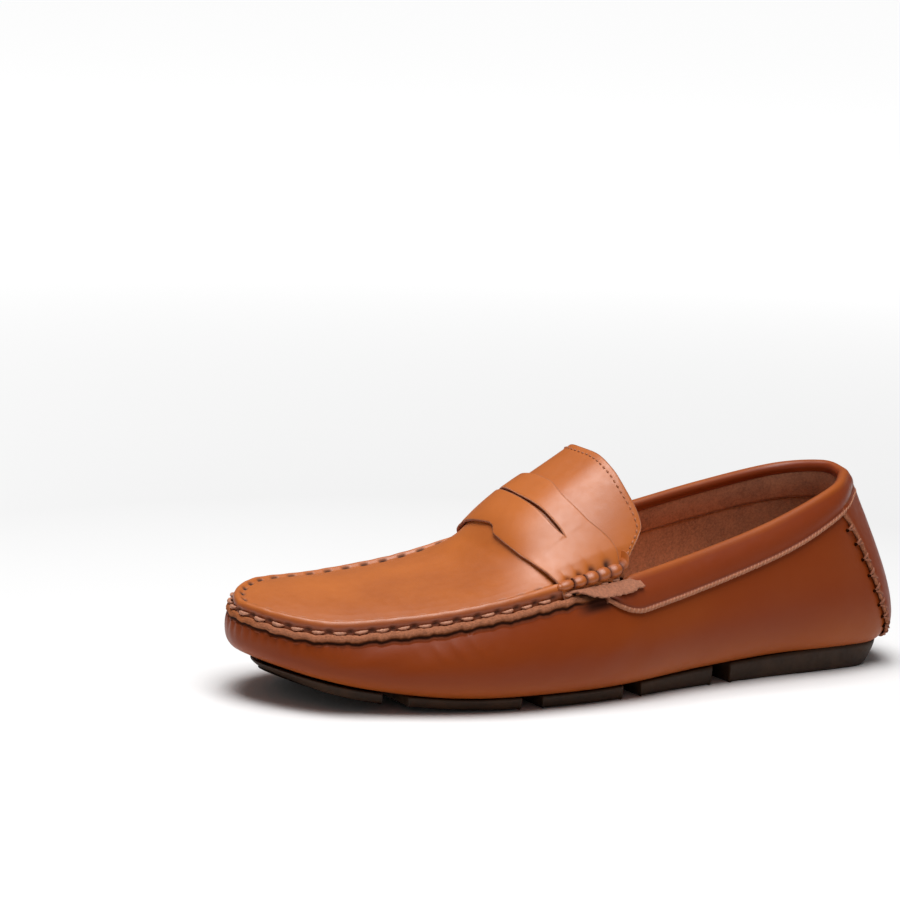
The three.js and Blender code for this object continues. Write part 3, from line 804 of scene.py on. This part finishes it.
def make_apron():
    u = np.unique(np.concatenate([np.linspace(0, 0.045, 28), np.linspace(0.045, 1, 300)]))
    side = np.concatenate([np.linspace(0, 0.8, 22)[:-1], 1 - 0.2 * np.linspace(1, 0, 34)**1.15])
    w = np.concatenate([-side[::-1], side[1:]])
    uu, ww = np.meshgrid(u, w, indexing="ij")
    uu = tongue_edge(uu, ww)
    plain = instep(uu, ww)
    distance, index = nearest_seam(plain)
    arc = SEAM_ARC[index]
    inward, height = edge_section(distance)
    fade = bead_fade(uu)
    inward = inward * fade + distance * (1 - fade)
    height = height * fade + soft_height(distance) * (1 - fade)
    hole = np.exp(-((arc / STITCH - np.round(arc / STITCH)) * STITCH / 1.5)**2)
    row = np.exp(-((height - 0.35) / 0.85)**2) * (distance < 2.2) * fade
    inward = inward + row * (0.25 + 0.75 * hole)
    bead = np.exp(-((distance - 2.6) / 1.2)**2) * fade
    height = height + 0.14 * uneven(arc * 1.3) * bead + 0.1 * (stitch_wave(arc, STITCH) - 0.5) * bead
    grid = plain + SEAM_OUT[index] * (distance - inward)[..., None]
    grid[..., 2] += height
    crease = np.exp(-((distance - 4.7) / 0.5)**2) * fade * smooth(0, 0.02, uu)
    grid[..., 2] -= 0.16 * crease
    inner_hole = np.exp(-((arc / STITCH - np.floor(arc / STITCH) - 0.5) * STITCH / 1.7)**4)
    pricked = np.exp(-((distance - 4.4) / 0.75)**2) * inner_hole * fade * (uu > 0.01)
    grid[..., 2] -= 0.5 * pricked
    # Painted shade on the rim's side face; the stitch row, its holes, the crease inside the bead and the
    # pricked holes are darkened as painted shade.
    deep_tone_and_painted_shade = 0.6 * smooth(2.1, 1.3, distance) * fade
    dark = np.clip(row * (0.12 + 0.6 * hole), 0, 0.9) + 0.12 * crease + 0.95 * pricked
    values = {"deep_tone_and_painted_shade": deep_tone_and_painted_shade, "dark": np.clip(dark, 0, 1)}
    piece = leather_sheet("apron_leather", grid, grid_faces(*uu.shape)[:, ::-1], leather, LEATHER, values)
    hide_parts("apron")


def soft_height(distance):
    """Height over the seam where the vamp runs down under the strap without a bead."""
    return np.interp(distance, [0, 2, 4, 8, 200], [-1, 1.6, 3.2, 4.4, 4.5])


def vamp_surface(u, w, off=0.0):
    """The vamp and tongue with the rim faded out, lifted off along its normal."""
    def point(uu, ww):
        plain = instep(uu, ww)
        distance, _ = nearest_seam(plain)
        plain[..., 2] += soft_height(distance)
        return plain
    u, w = np.broadcast_arrays(np.asarray(u, float), np.asarray(w, float))
    base = point(u, w)
    if np.ndim(off) == 0 and off == 0:
        return base
    step = 0.01
    along = point(u + step, w) - point(u - step, w)
    across = point(u, np.clip(w + step, -1, 1)) - point(u, np.clip(w - step, -1, 1))
    return base + unit(np.cross(across, along)) * np.asarray(off)[..., None]


# ------------------------------------------------------------------ seams

def make_apron_stitches():
    paths = []
    wobble = np.random.default_rng(5)
    for k in range(int(SEAM_ARC[-1] // STITCH)):
        middle = (k + 0.5) * STITCH
        place = to_a(middle)
        if min(place, 1 - place) < 0.3:
            continue
        half = 2.35 + wobble.uniform(-0.25, 0.25)
        share = np.linspace(-1, 1, 13)
        aa = to_a(middle + half * share)
        off = 1.0 - 1.6 * np.abs(share)**3.2
        point = wall(aa, 1.0) + outward(aa) * off[:, None]
        point[:, 2] += 0.1 + wobble.uniform(-0.12, 0.12) + 0.25 * share * wobble.uniform(-1, 1)
        paths.append(point)
    piece = thread_object("apron_seam_thread", paths, 0.8, thread)
    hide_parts("apron_thread")


# ------------------------------------------------------------------ collar

def band_depth(a):
    """Depth of the band's lower edge, drawn up in a curve at its two front ends."""
    a = np.abs(a)
    full = 9.2 + 3.8 * smooth(0.04, 0.14, a)
    return full - 7.5 * np.clip((a - 0.244) / 0.0236, 0, 1)**1.7


def make_collar():
    a = np.linspace(-BAND_END, BAND_END, 420)[:, None]
    low = band_depth(a)
    steps = np.linalg.norm(np.diff(wall(a[:, 0] % 1, 1.0), axis=0), axis=1)
    reach = np.concatenate([[0], np.cumsum(steps)])[:, None]
    ripple = 0.14 * fine_uneven(reach) + 0.1 * np.sin(2 * math.pi * reach / BAND_PITCH)
    tuck = smooth(0.244, 0.262, np.abs(a))  # the ends go under the beefrolls
    top = 1.9 + 2.6 * tuck
    middle = -0.75 + 0.9 * tuck
    radius = 2.5 - 1.2 * tuck
    one = np.ones_like(a)
    # Depth, offset, raw and dark marks, from the lower edge up, over the roll and inside; the dark marks
    # paint shadow above and below the raw edge and where the roll turns inside.
    profile = [(low - 0.5, 0.1 * one, 1, 0), (low + ripple, 0.35 * one, 1, 0.4),
               (low + 0.2 + ripple, 0.9 * one, 1, 0), (low + 0.05 + ripple, 1.5 * one, 1, 0),
               (low - 0.4 + ripple, 1.9 * one, 1, 0), (low - 0.9 + ripple, 1.95 * one, 1, 0),
               (low - 1.3 + ripple, 1.7 * one, 0.3, 0.2), (low - 1.6, 1.4 * one, 0, 0.45),
               (low - 2.6, 1.55 * one, 0, 0)]
    for share in np.linspace(0.12, 0.9, 8):
        depth = low - 2.6 + (top - low + 2.6) * share
        puff = 1.6 + (middle + radius - 1.6) * share + 0.55 * math.sin(math.pi * share)
        profile.append((depth, puff * one, 0, 0))
    for angle in np.linspace(0, 1, 15) * math.pi:
        profile.append((top - radius * math.sin(angle), middle + radius * math.cos(angle), 0, 0))
    inner = middle - radius
    profile += [(top + 0.8, inner + 0.05, 0, 0), (top + 1.4, inner + 0.2, 0, 0.2),
                (top + 1.7, inner + 0.6, 0.2, 0.7), (top + 1.6, inner + 1.2, 1, 0.6),
                (top + 0.7, middle + 0.3, 1, 0)]
    grid = np.stack([wall_down(a % 1, depth, off)[:, 0] for depth, off, _, _ in profile], 1)
    raw = np.array([row[2] for row in profile])[None, :] * one
    # Painted shade darkens the band's face; less of it along the top of the roll makes a painted highlight.
    deep_tone_and_painted_shade = np.full(grid.shape[:2], 0.9)
    deep_tone_and_painted_shade[:, 16:28] = 0.9 - 0.5 * np.sin(math.pi * np.arange(12) / 11)
    dark = np.array([row[3] for row in profile])[None, :] * one
    piece = solid_grid("collar_band_padded", grid, collar_leather, {"raw": raw, "deep_tone_and_painted_shade": deep_tone_and_painted_shade, "dark": dark})
    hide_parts("collar_band", "collar_foam")
    # Fine overcast stitches that lie slanting across the raw edge.
    paths = []
    for k in range(2, int(reach[-1, 0] / BAND_PITCH) - 2):
        share = np.linspace(0, 1, 7)
        aa = np.interp(k * BAND_PITCH + 1.3 * share, reach[:, 0], a[:, 0])
        depth = band_depth(aa) - 1.45 + 1.7 * share
        paths.append(wall_down(aa % 1, depth, 1.5 + 0.62 * np.sin(math.pi * share)**0.7 - 0.5 * share))
    stitches = thread_object("collar_seam_thread", paths, 0.24, thread, 6, 0, 0)
    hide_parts("collar_thread")


def make_linings():
    a = np.linspace(-0.246, 0.246, 260)[:, None]
    depths = np.linspace(2.9, 14.5, 12)
    outer = [wall_down(a % 1, d, -2.1)[:, 0] for d in depths]
    inner = [wall_down(a % 1, d, -2.9 - 0.4 * math.sin(math.pi * (d - 2.9) / 11.6))[:, 0]
             for d in depths[::-1]]
    grid = np.stack(outer + inner, 1)
    # Painted shade deepens towards the heel; the facing also gets a dark line along its lower edge, where
    # it meets the lining.
    dark = 0.35 * smooth(0.2, 0.05, np.abs(a)) * np.ones(grid.shape[1])
    dark[:, len(depths):len(depths) + 1] = 0.7
    piece = solid_grid("collar_facing_strip", grid, facing, {"dark": dark})
    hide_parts("collar_facing")
    t_top = t_at_depth(a % 1, 13.6)
    shares = np.linspace(0.05, 1, 26)[None, :]
    outer = wall(a % 1, t_top * shares, -1.9)
    inner = wall(a % 1, (t_top * shares)[:, ::-1], -2.6 - 0.15 * uneven(a * 900))
    grid = np.concatenate([outer, inner], 1)
    # Painted shade deepens towards the heel.
    dark = 0.5 * smooth(0.21, 0.05, np.abs(a)) * np.ones(grid.shape[1])
    piece = solid_grid("quarter_lining_suede", grid, lining, {"dark": dark})
    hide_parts("quarter_lining")


def make_sock():
    count = 300
    a = (np.arange(count) / count)[:, None]
    rim = wall(a, 0.16, -5.0)
    shares = np.array([1, 0.985, 0.95, 0.85, 0.7, 0.5, 0.25, 0])
    base = rim * shares[None, :, None]
    s = HEEL_Y - base[..., 1]
    base[..., 2] = sole_top(s) + 6.9 + 1.6 * shares**6  # cupped up a little at its rim
    edge = base[:, :1] + (0, 0, -0.5)
    under = base + (0, 0, -4.5)
    grid = np.concatenate([base[:, ::-1][:, :-1], edge, under], 1)
    piece = solid_grid("sock_leather_insole", grid, sock, closed_rows=True, closed_columns=False)
    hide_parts("sock_lining", "footbed_foam")


def make_tongue_lining():
    u = np.linspace(0.1, 0.99, 120)
    w = np.linspace(-0.97, 0.97, 40)
    uu, ww = np.meshgrid(u, w, indexing="ij")
    points = vamp_surface(tongue_edge(uu, ww), ww, -1.75)
    faces = grid_faces(*uu.shape)[:, ::-1]
    piece = leather_sheet("vamp_lining_suede", points, faces, lining, 0.8, {})
    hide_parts("vamp_lining", "tongue_lining")
    paths = []
    # Dashed stitching just inside the tongue's edge.
    line = np.linspace(-0.96, 0.96, 700)
    edge = vamp_surface(tongue_edge(np.full(700, 0.9925), line), line)
    reach = np.concatenate([[0], np.cumsum(np.linalg.norm(np.diff(edge, axis=0), axis=1))])
    for k in range(int(reach[-1] / TONGUE_PITCH)):
        share = np.linspace(-1, 1, 9)
        ww = np.interp((k + 0.5 + 0.3 * share) * TONGUE_PITCH, reach, line)
        paths.append(vamp_surface(tongue_edge(np.full(9, 0.9925), ww), ww, 0.18 - 0.5 * share**4))
    piece = thread_object("tongue_edge_thread", paths, 0.36, seam_thread, 6, 0, 0)
    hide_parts("tongue_thread")


# ------------------------------------------------------------------ strap

def make_strap():
    w = np.linspace(-1, 1, 241)
    away = np.abs(w)
    notch = 0.017 * smooth(0.19, 0.08, w) * smooth(-0.8, -0.66, w)
    front = 0.776 + 0.026 * np.clip(1 - away / 0.6, 0, 1) + 0.006 * smooth(0.85, 1, away) + notch
    back = 0.932 - 0.006 * smooth(0.1, 0.5, away) + 0.016 * smooth(0.7, 1, away)
    slit = 0.892 - 0.009 * smooth(0.35, 0.9, away)
    gape = 0.0052 * (0.6 + 0.4 * away / 0.74) * np.clip(1 - (away / 0.745)**16, 0, 1)
    open_ = smooth(0, 0.002, gape)

    def strip(low, high, rows, lip_at_high):
        grid, marks = [], []
        for share in np.linspace(0, 1, rows):
            inner_lip = share if lip_at_high else 1 - share
            swell = 0.16 * math.sin(math.pi * share)**0.5 * open_ + 0.08 * (1 - open_)
            place = (low + (high - low) * share - ROLL_U) / ROLL_STEP
            gathers = 0.42 * smooth(0.86, 0.98, away) * (np.abs(np.sin(math.pi * place))**0.7 - 0.6)
            rim = 0.35 * inner_lip**6 * open_ * (1 if lip_at_high else 0.4)
            # Stitch holes along the strap's edge are dented, and darkened as painted shade.
            along = (place - np.round(place)) * 3.1  # millimetres from the nearest stitch hole
            hole = np.exp(-(along / 0.6)**2 - ((away - 0.955) / 0.014)**2) * (place > 0.5) * (place < 5.5)
            off = 1.7 + swell + rim + gathers - 0.4 * smooth(0.92, 1, away) - 1.0 * hole
            grid.append(vamp_surface(low + (high - low) * share, w, off))
            marks.append(hole)
        return np.array(grid), np.array(marks)

    front_part, front_marks = strip(front, slit - gape, 60, True)
    back_part, back_marks = strip(slit + gape, back, 34, False)
    # Where the slit is shut, both parts share one line of vertices.
    shut = gape <= 0
    back_part[0, shut] = front_part[-1, shut]
    split = front_part.shape[0] * front_part.shape[1]
    front_faces, back_faces = grid_faces(*front_part.shape[:2]), grid_faces(*back_part.shape[:2])
    faces = np.vstack([front_faces, back_faces + split])[:, ::-1]
    points = np.concatenate([front_part.reshape(-1, 3), back_part.reshape(-1, 3)])
    marks = {"dark": np.concatenate([front_marks.ravel(), back_marks.ravel()])}
    piece = leather_sheet("saddle_strap_leather", points, faces, leather, 1.4, marks)
    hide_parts("saddle_strap")


# ------------------------------------------------------------------ beefrolls

def on_side(share, side):
    return share if side > 0 else 1 - share


def ring_solid(name, centres, radii, across, up, material, values, sides=26):
    """A closed roll: rings of the given radii in the plane of two directions."""
    angle = np.linspace(0, 2 * math.pi, sides, endpoint=False)
    spread = np.cos(angle)[None, :, None] * across[:, None] + np.sin(angle)[None, :, None] * up[:, None]
    return solid_grid(name, centres[:, None] + radii[:, None, None] * spread, material, values)


def make_beefroll(side):
    label = "outer" if side > 0 else "inner"
    arc_0 = to_arc(on_side(ROLL_FRONT, side))
    arc_1 = to_arc(on_side(ROLL_BACK, side))
    length = abs(arc_1 - arc_0)
    pitch = length / 5
    sign = 1 if arc_1 > arc_0 else -1

    def seam_at(local):
        a = to_a(arc_0 + sign * np.asarray(local, float))
        return wall(a, 1.0), outward(a)

    # The roll: five bumps, then a knuckle that climbs to the tongue's corner.
    local = np.linspace(-1.2, length + 5.5, 190)
    base, across = seam_at(np.minimum(local, length + 1.5))
    climb = smooth(length - 1.0, length + 5.5, local)
    bump = np.abs(np.sin(math.pi * local / pitch))**0.8 * (local < length)
    bump = bump + 0.8 * smooth(length, length + 2, local)
    radius = (1.95 + 0.95 * bump) * (0.68 + 0.32 * smooth(-1.2, length * 0.7, local))
    radius *= np.clip((local + 1.25) / 1.6, 0.05, 1)**0.5
    radius *= np.clip((length + 5.55 - local) / 1.8, 0.05, 1)**0.5
    centre = base + across * (-0.75 - 1.3 * climb)[:, None]
    centre[:, 2] += 3.9 + 4.6 * climb
    centre[:, 1] += 1.8 * climb
    up = np.tile([0.0, 0, 1], (len(local), 1))
    # Painted shade deepens in the valleys between the bumps.
    valley = np.exp(-((local / pitch - np.round(local / pitch)) * pitch / 0.7)**2)
    valley = (valley * (local > 2) * (local < length + 1))[:, None]
    marks = {"deep_tone_and_painted_shade": 0.3 + 0.4 * valley, "dark": 0.35 * valley}
    # The folds are wider than high and reach in under the strap's gathers.
    piece = ring_solid(f"beefroll_{label}_leather", centre - 0.5 * across, radius, across * 1.35, up,
                       leather, marks)
    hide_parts(f"beefroll_{label}")

    # Lashing strands in the valleys, with the holes above and below them; dark forms paint the shadow in
    # the holes below.
    strands, pits, ties = [], [], []
    for k in range(1, 6):
        point, out = seam_at([k * pitch])
        point, out = point[0], out[0]
        middle = point - 0.75 * out + (0, 0, 3.9)
        angle = np.radians(np.linspace(150, -62, 26))[:, None]
        strands.append(middle + 2.05 * (np.cos(angle) * out + np.sin(angle) * np.array([0, 0, 1.0])))
        pits.append((point + 0.45 * out + (0, 0, 0.2), 1.0))
    for k in range(5):
        share = np.linspace(-1, 1, 11)
        point, out = seam_at((k + 0.5) * pitch + 1.75 * share)
        path = point + out * (1.5 - 1.2 * np.abs(share)**3)[:, None]
        path[:, 2] += 0.75
        ties.append(path)
    piece = thread_object(f"beefroll_{label}_lashing", strands, 0.4, brown_thread, 8)
    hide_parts(f"beefroll_cord_{label}")
    piece = thread_object(f"beefroll_{label}_ties", ties, 0.72, thread, 10)
    pit_object(f"beefroll_{label}_holes", pits)

    # The flap: the wrap's raw edge turned out below the roll, a flat strip cut off at its rear.
    local = np.linspace(1.5, length + 7.5, 170)
    a = to_a(arc_0 + sign * local)
    a = np.where(local > length, on_side(ROLL_BACK, side) - side * (local - length) / 720, a)
    share = (local - local[0]) / (local[-1] - local[0])
    width = (0.12 + 0.88 * smooth(-0.05, 0.5, share)) * (1 - 0.42 * smooth(0.8, 1, share))
    tilt = -1.9 * (1 - share)**1.5 + 0.2 * share + 1.5 * smooth(0.84, 1, share)
    fray = 0.3 * uneven(local * 2.3) + 0.28 * fine_uneven(local * 4.3)
    # Share of the way down the strip, offset, raw, dark; the dark column paints the shadow on the strip's
    # underside.
    profile = [(0.1, -0.6, 0, 0.3), (0.0, 1.0, 0.6, 0.1), (0.02, 1.9, 1, 0), (0.08, 2.35, 1, 0),
               (0.2, 2.6, 1, 0), (0.4, 2.95, 1, 0), (0.6, 3.3, 1, 0), (0.8, 3.7, 1, 0),
               (0.93, 3.95, 1, 0), (1.0, 3.85, 1, 0), (1.02, 3.5, 1, 0.1), (0.99, 3.1, 0.8, 0.3),
               (0.9, 2.6, 0.3, 0.8), (0.7, 1.9, 0, 0.9), (0.55, 1.2, 0, 0.9), (0.5, 0.2, 0, 0.9),
               (0.45, -0.8, 0, 0.5)]
    lift = smooth(0, 0.12, share)
    fray = fray + 0.1 * np.sin(local * 2.2)
    rows = []
    for down, off, _, _ in profile:
        depth = 0.8 + 4.9 * width * down + fray * (down > 0.9) + tilt
        rows.append(wall_down(a, depth, off if off < 1.5 else 1.5 + (off - 1.5) * lift))
    grid = np.stack(rows, 1)
    marks = np.array(profile).T[:, None]
    piece = solid_grid(f"beefroll_{label}_flap", grid, leather,
                       {"raw": marks[2], "dark": marks[3], "deep_tone_and_painted_shade": 0.4})


def pit_object(name, pits):
    points, faces = [], []
    for place, size in pits:
        ball, quads = round_pit(place, size)
        faces += [[v + sum(map(len, points)) for v in quad] for quad in quads]
        points.append(ball)
    make_object(name, np.vstack(points), faces, needle_hole)


def round_pit(place, size, rings=7, sides=12):
    """A small rounded dark form that paints the shadow inside a needle hole."""
    points = [place + (0, 0, size * 0.7)]
    for k in range(1, rings):
        polar = math.pi * k / rings
        turn = np.linspace(0, 2 * math.pi, sides, endpoint=False)
        ring = np.stack([np.cos(turn), np.sin(turn), 0 * turn], -1) * math.sin(polar) * size
        points.extend(place + ring + (0, 0, size * 0.7 * math.cos(polar)))
    points.append(place - (0, 0, size * 0.7))
    faces = [[0, 1 + k, 1 + (k + 1) % sides] for k in range(sides)]
    for row in range(rings - 2):
        for k in range(sides):
            n = (k + 1) % sides
            above, below = 1 + row * sides, 1 + (row + 1) * sides
            faces.append([above + k, below + k, below + n, above + n])
    last = len(points) - 1
    faces += [[last, last - sides + (k + 1) % sides, last - sides + k] for k in range(sides)]
    return np.array(points), faces


# ------------------------------------------------------------------ heel patch

def patch_half(share):
    return catmull(PATCH_EDGE, np.asarray(share, float), False)[0][..., 0]


def make_heel():
    rows, columns = 150, 64
    w = np.linspace(-1, 1, columns)
    grid = []
    for share in np.linspace(0, 1, rows):
        # The edge is drawn in at each hole of the lacing, less so near the top.
        bulge = abs(math.sin(math.pi * share * PATCH_LENGTH / LACE_PITCH))
        bulge *= 0.3 + 0.7 * smooth(0.15, 0.5, share)
        a = (patch_half(share) - 0.0004 + 0.0018 * bulge) * w
        top = t_at_depth(a % 1, band_depth(a) - 2.5)
        pinch = 0.5 * smooth(0.93, 1, np.abs(w)) * (1 - bulge)
        grid.append(wall(a % 1, top * (1 - share), 1.85 - pinch + 0.05 * uneven(share * 90 + w * 30)))
    grid = np.array(grid)[::-1]
    # Painted shade darkens the patch as it does the side wall.
    marks = {"deep_tone_and_painted_shade": np.full((rows, columns), 0.88),
             "raw": 0.9 * smooth(0.965, 0.985, np.abs(w)) * np.ones((rows, 1))}
    piece = leather_sheet("heel_patch_leather", grid, grid_faces(rows, columns), wall_leather, 1.4, marks)
    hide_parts("heel_patch")
    for side in (1, -1):
        label = "outer" if side > 0 else "inner"

        def place(share, beyond, off):
            a = side * (patch_half(share) + beyond)
            top = float(t_at_depth(np.array(a % 1), np.array(band_depth(a))))
            return wall(np.array(a % 1), np.array(top * (1 - share)), off)

        paths, pits = [], []
        for k in range(1, int(PATCH_LENGTH / LACE_PITCH)):
            middle = k * LACE_PITCH / PATCH_LENGTH
            spread = 0.012 + 0.026 * (0.15 + 0.85 * smooth(0.15, 0.5, middle))
            for lean in (-1, 1):
                path = [place(middle + lean * spread * (1 - t), -0.0025 + 0.0062 * t,
                              1.85 * (1 - t) + 0.2 * t + 0.65 * math.sin(math.pi * t))
                        for t in np.linspace(0, 1, 11)]
                paths.append(np.array(path))
            # A dark form paints the shadow in each lacing hole.
            pits.append((place(middle, 0.0042, 0.1), 0.95))
        piece = thread_object(f"heel_lacing_{label}", paths, 0.6, dark_thread, 8)
        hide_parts(f"heel_thread_{label}")
        pit_object(f"heel_lacing_{label}_holes", pits)


# ------------------------------------------------------------------ sole

def pad_outline(front, back):
    """Outline of a sole pad: the foot line pulled in, cut off at both ends and rounded."""
    a = np.linspace(0, 1, 1600, endpoint=False)
    foot = catmull(STATIONS[:, :2], a, True)[0]
    pulled_in = 6 - 2.5 * smooth(45, 5, foot[:, 1]) + 3 * smooth(255, 285, foot[:, 1])
    line = np.stack([foot[:, 0] + CENTRE_X, HEEL_Y - foot[:, 1]], -1)
    line = line - pulled_in[:, None] * outward(a)[:, :2]
    front, back = max(front, line[:, 1].min() + 0.02), min(back, line[:, 1].max() - 0.02)
    inside = (line[:, 1] > front + 1e-3) & (line[:, 1] < back - 1e-3)
    y = front + (back - front) * (0.5 - 0.5 * np.cos(np.pi * np.linspace(0, 1, 60)))
    halves = []
    for half in (line[inside & (a < 0.5)], line[inside & (a >= 0.5)]):
        half = half[np.argsort(half[:, 1])]
        halves.append(np.stack([np.interp(y, half[:, 1], half[:, 0]), y], -1))
    ring = np.concatenate([halves[0], halves[1][::-1], halves[0][:1]])
    # A short running average along the finely cut outline rounds its corners.
    arc = np.concatenate([[0], np.cumsum(np.hypot(*np.diff(ring, axis=0).T))])
    even = np.linspace(0, arc[-1], 420, endpoint=False)
    ring = np.stack([np.interp(even, arc, ring[:, k]) for k in (0, 1)], -1)
    width = max(1, int(PAD_CORNER / even[1]))
    kernel = np.hanning(2 * width + 3)[1:-1]
    kernel /= kernel.sum()
    wrapped = np.concatenate([ring[-width:], ring, ring[:width]])
    return np.stack([np.convolve(wrapped[:, k], kernel, "valid") for k in (0, 1)], -1), front, back


def make_pads():
    for label in ("heel", "waist", "middle", "ball", "toe"):
        low, high = (np.array(corner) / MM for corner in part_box(f"sole_pad_{label}"))
        ring, front, back = pad_outline(low[1], high[1])
        tangent = np.roll(ring, -1, 0) - np.roll(ring, 1, 0)
        normal = unit(np.stack([tangent[:, 1], -tangent[:, 0]], -1))
        centre = ring.mean(0)
        # The side leans in towards the ground, most at the two ends of the shoe.
        s = HEEL_Y - ring[:, 1]
        end_on = np.maximum(smooth(22, 0, s), smooth(262, 285, s))
        side = (front + 1 < ring[:, 1]) & (ring[:, 1] < back - 1)
        lean = np.where(side, 1.6 + 5.0 * end_on, 0.35 + 6.0 * end_on)
        grid = []
        for share in (0.0, 0.35, 0.7, 0.85):  # the underside, from its middle out
            point = centre + (ring - centre) * share
            grid.append(np.column_stack([point, sole_bottom(HEEL_Y - point[:, 1])]))
        for share in (0.0, 0.03, 0.1, 0.22, 0.4, 0.6, 0.8, 1.0):  # up the side
            inset = 0.4 + lean * (1 - share)**1.8 + 0.7 * (1 - min(share / 0.1, 1))**2
            point = ring - normal * inset[:, None]
            bottom = sole_bottom(HEEL_Y - point[:, 1])
            top = sole_top(HEEL_Y - point[:, 1]) + 0.1
            grid.append(np.column_stack([point, bottom + (top - bottom) * share]))
        for share in (0.9, 0.6, 0.3, 0.0):  # the top, back to its middle
            point = centre + (ring - centre) * share
            grid.append(np.column_stack([point, sole_top(HEEL_Y - point[:, 1]) + 0.1]))
        piece = solid_grid(f"sole_rubber_{label}", np.array(grid).transpose(1, 0, 2), rubber,
                           closed_rows=True, closed_columns=False)
        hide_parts(f"sole_pad_{label}")


add_camera()
add_stage()
make_wrap()
make_apron()
make_apron_stitches()
make_collar()
make_linings()
make_sock()
make_tongue_lining()
make_strap()
make_beefroll(1)
make_beefroll(-1)
make_heel()
make_pads()
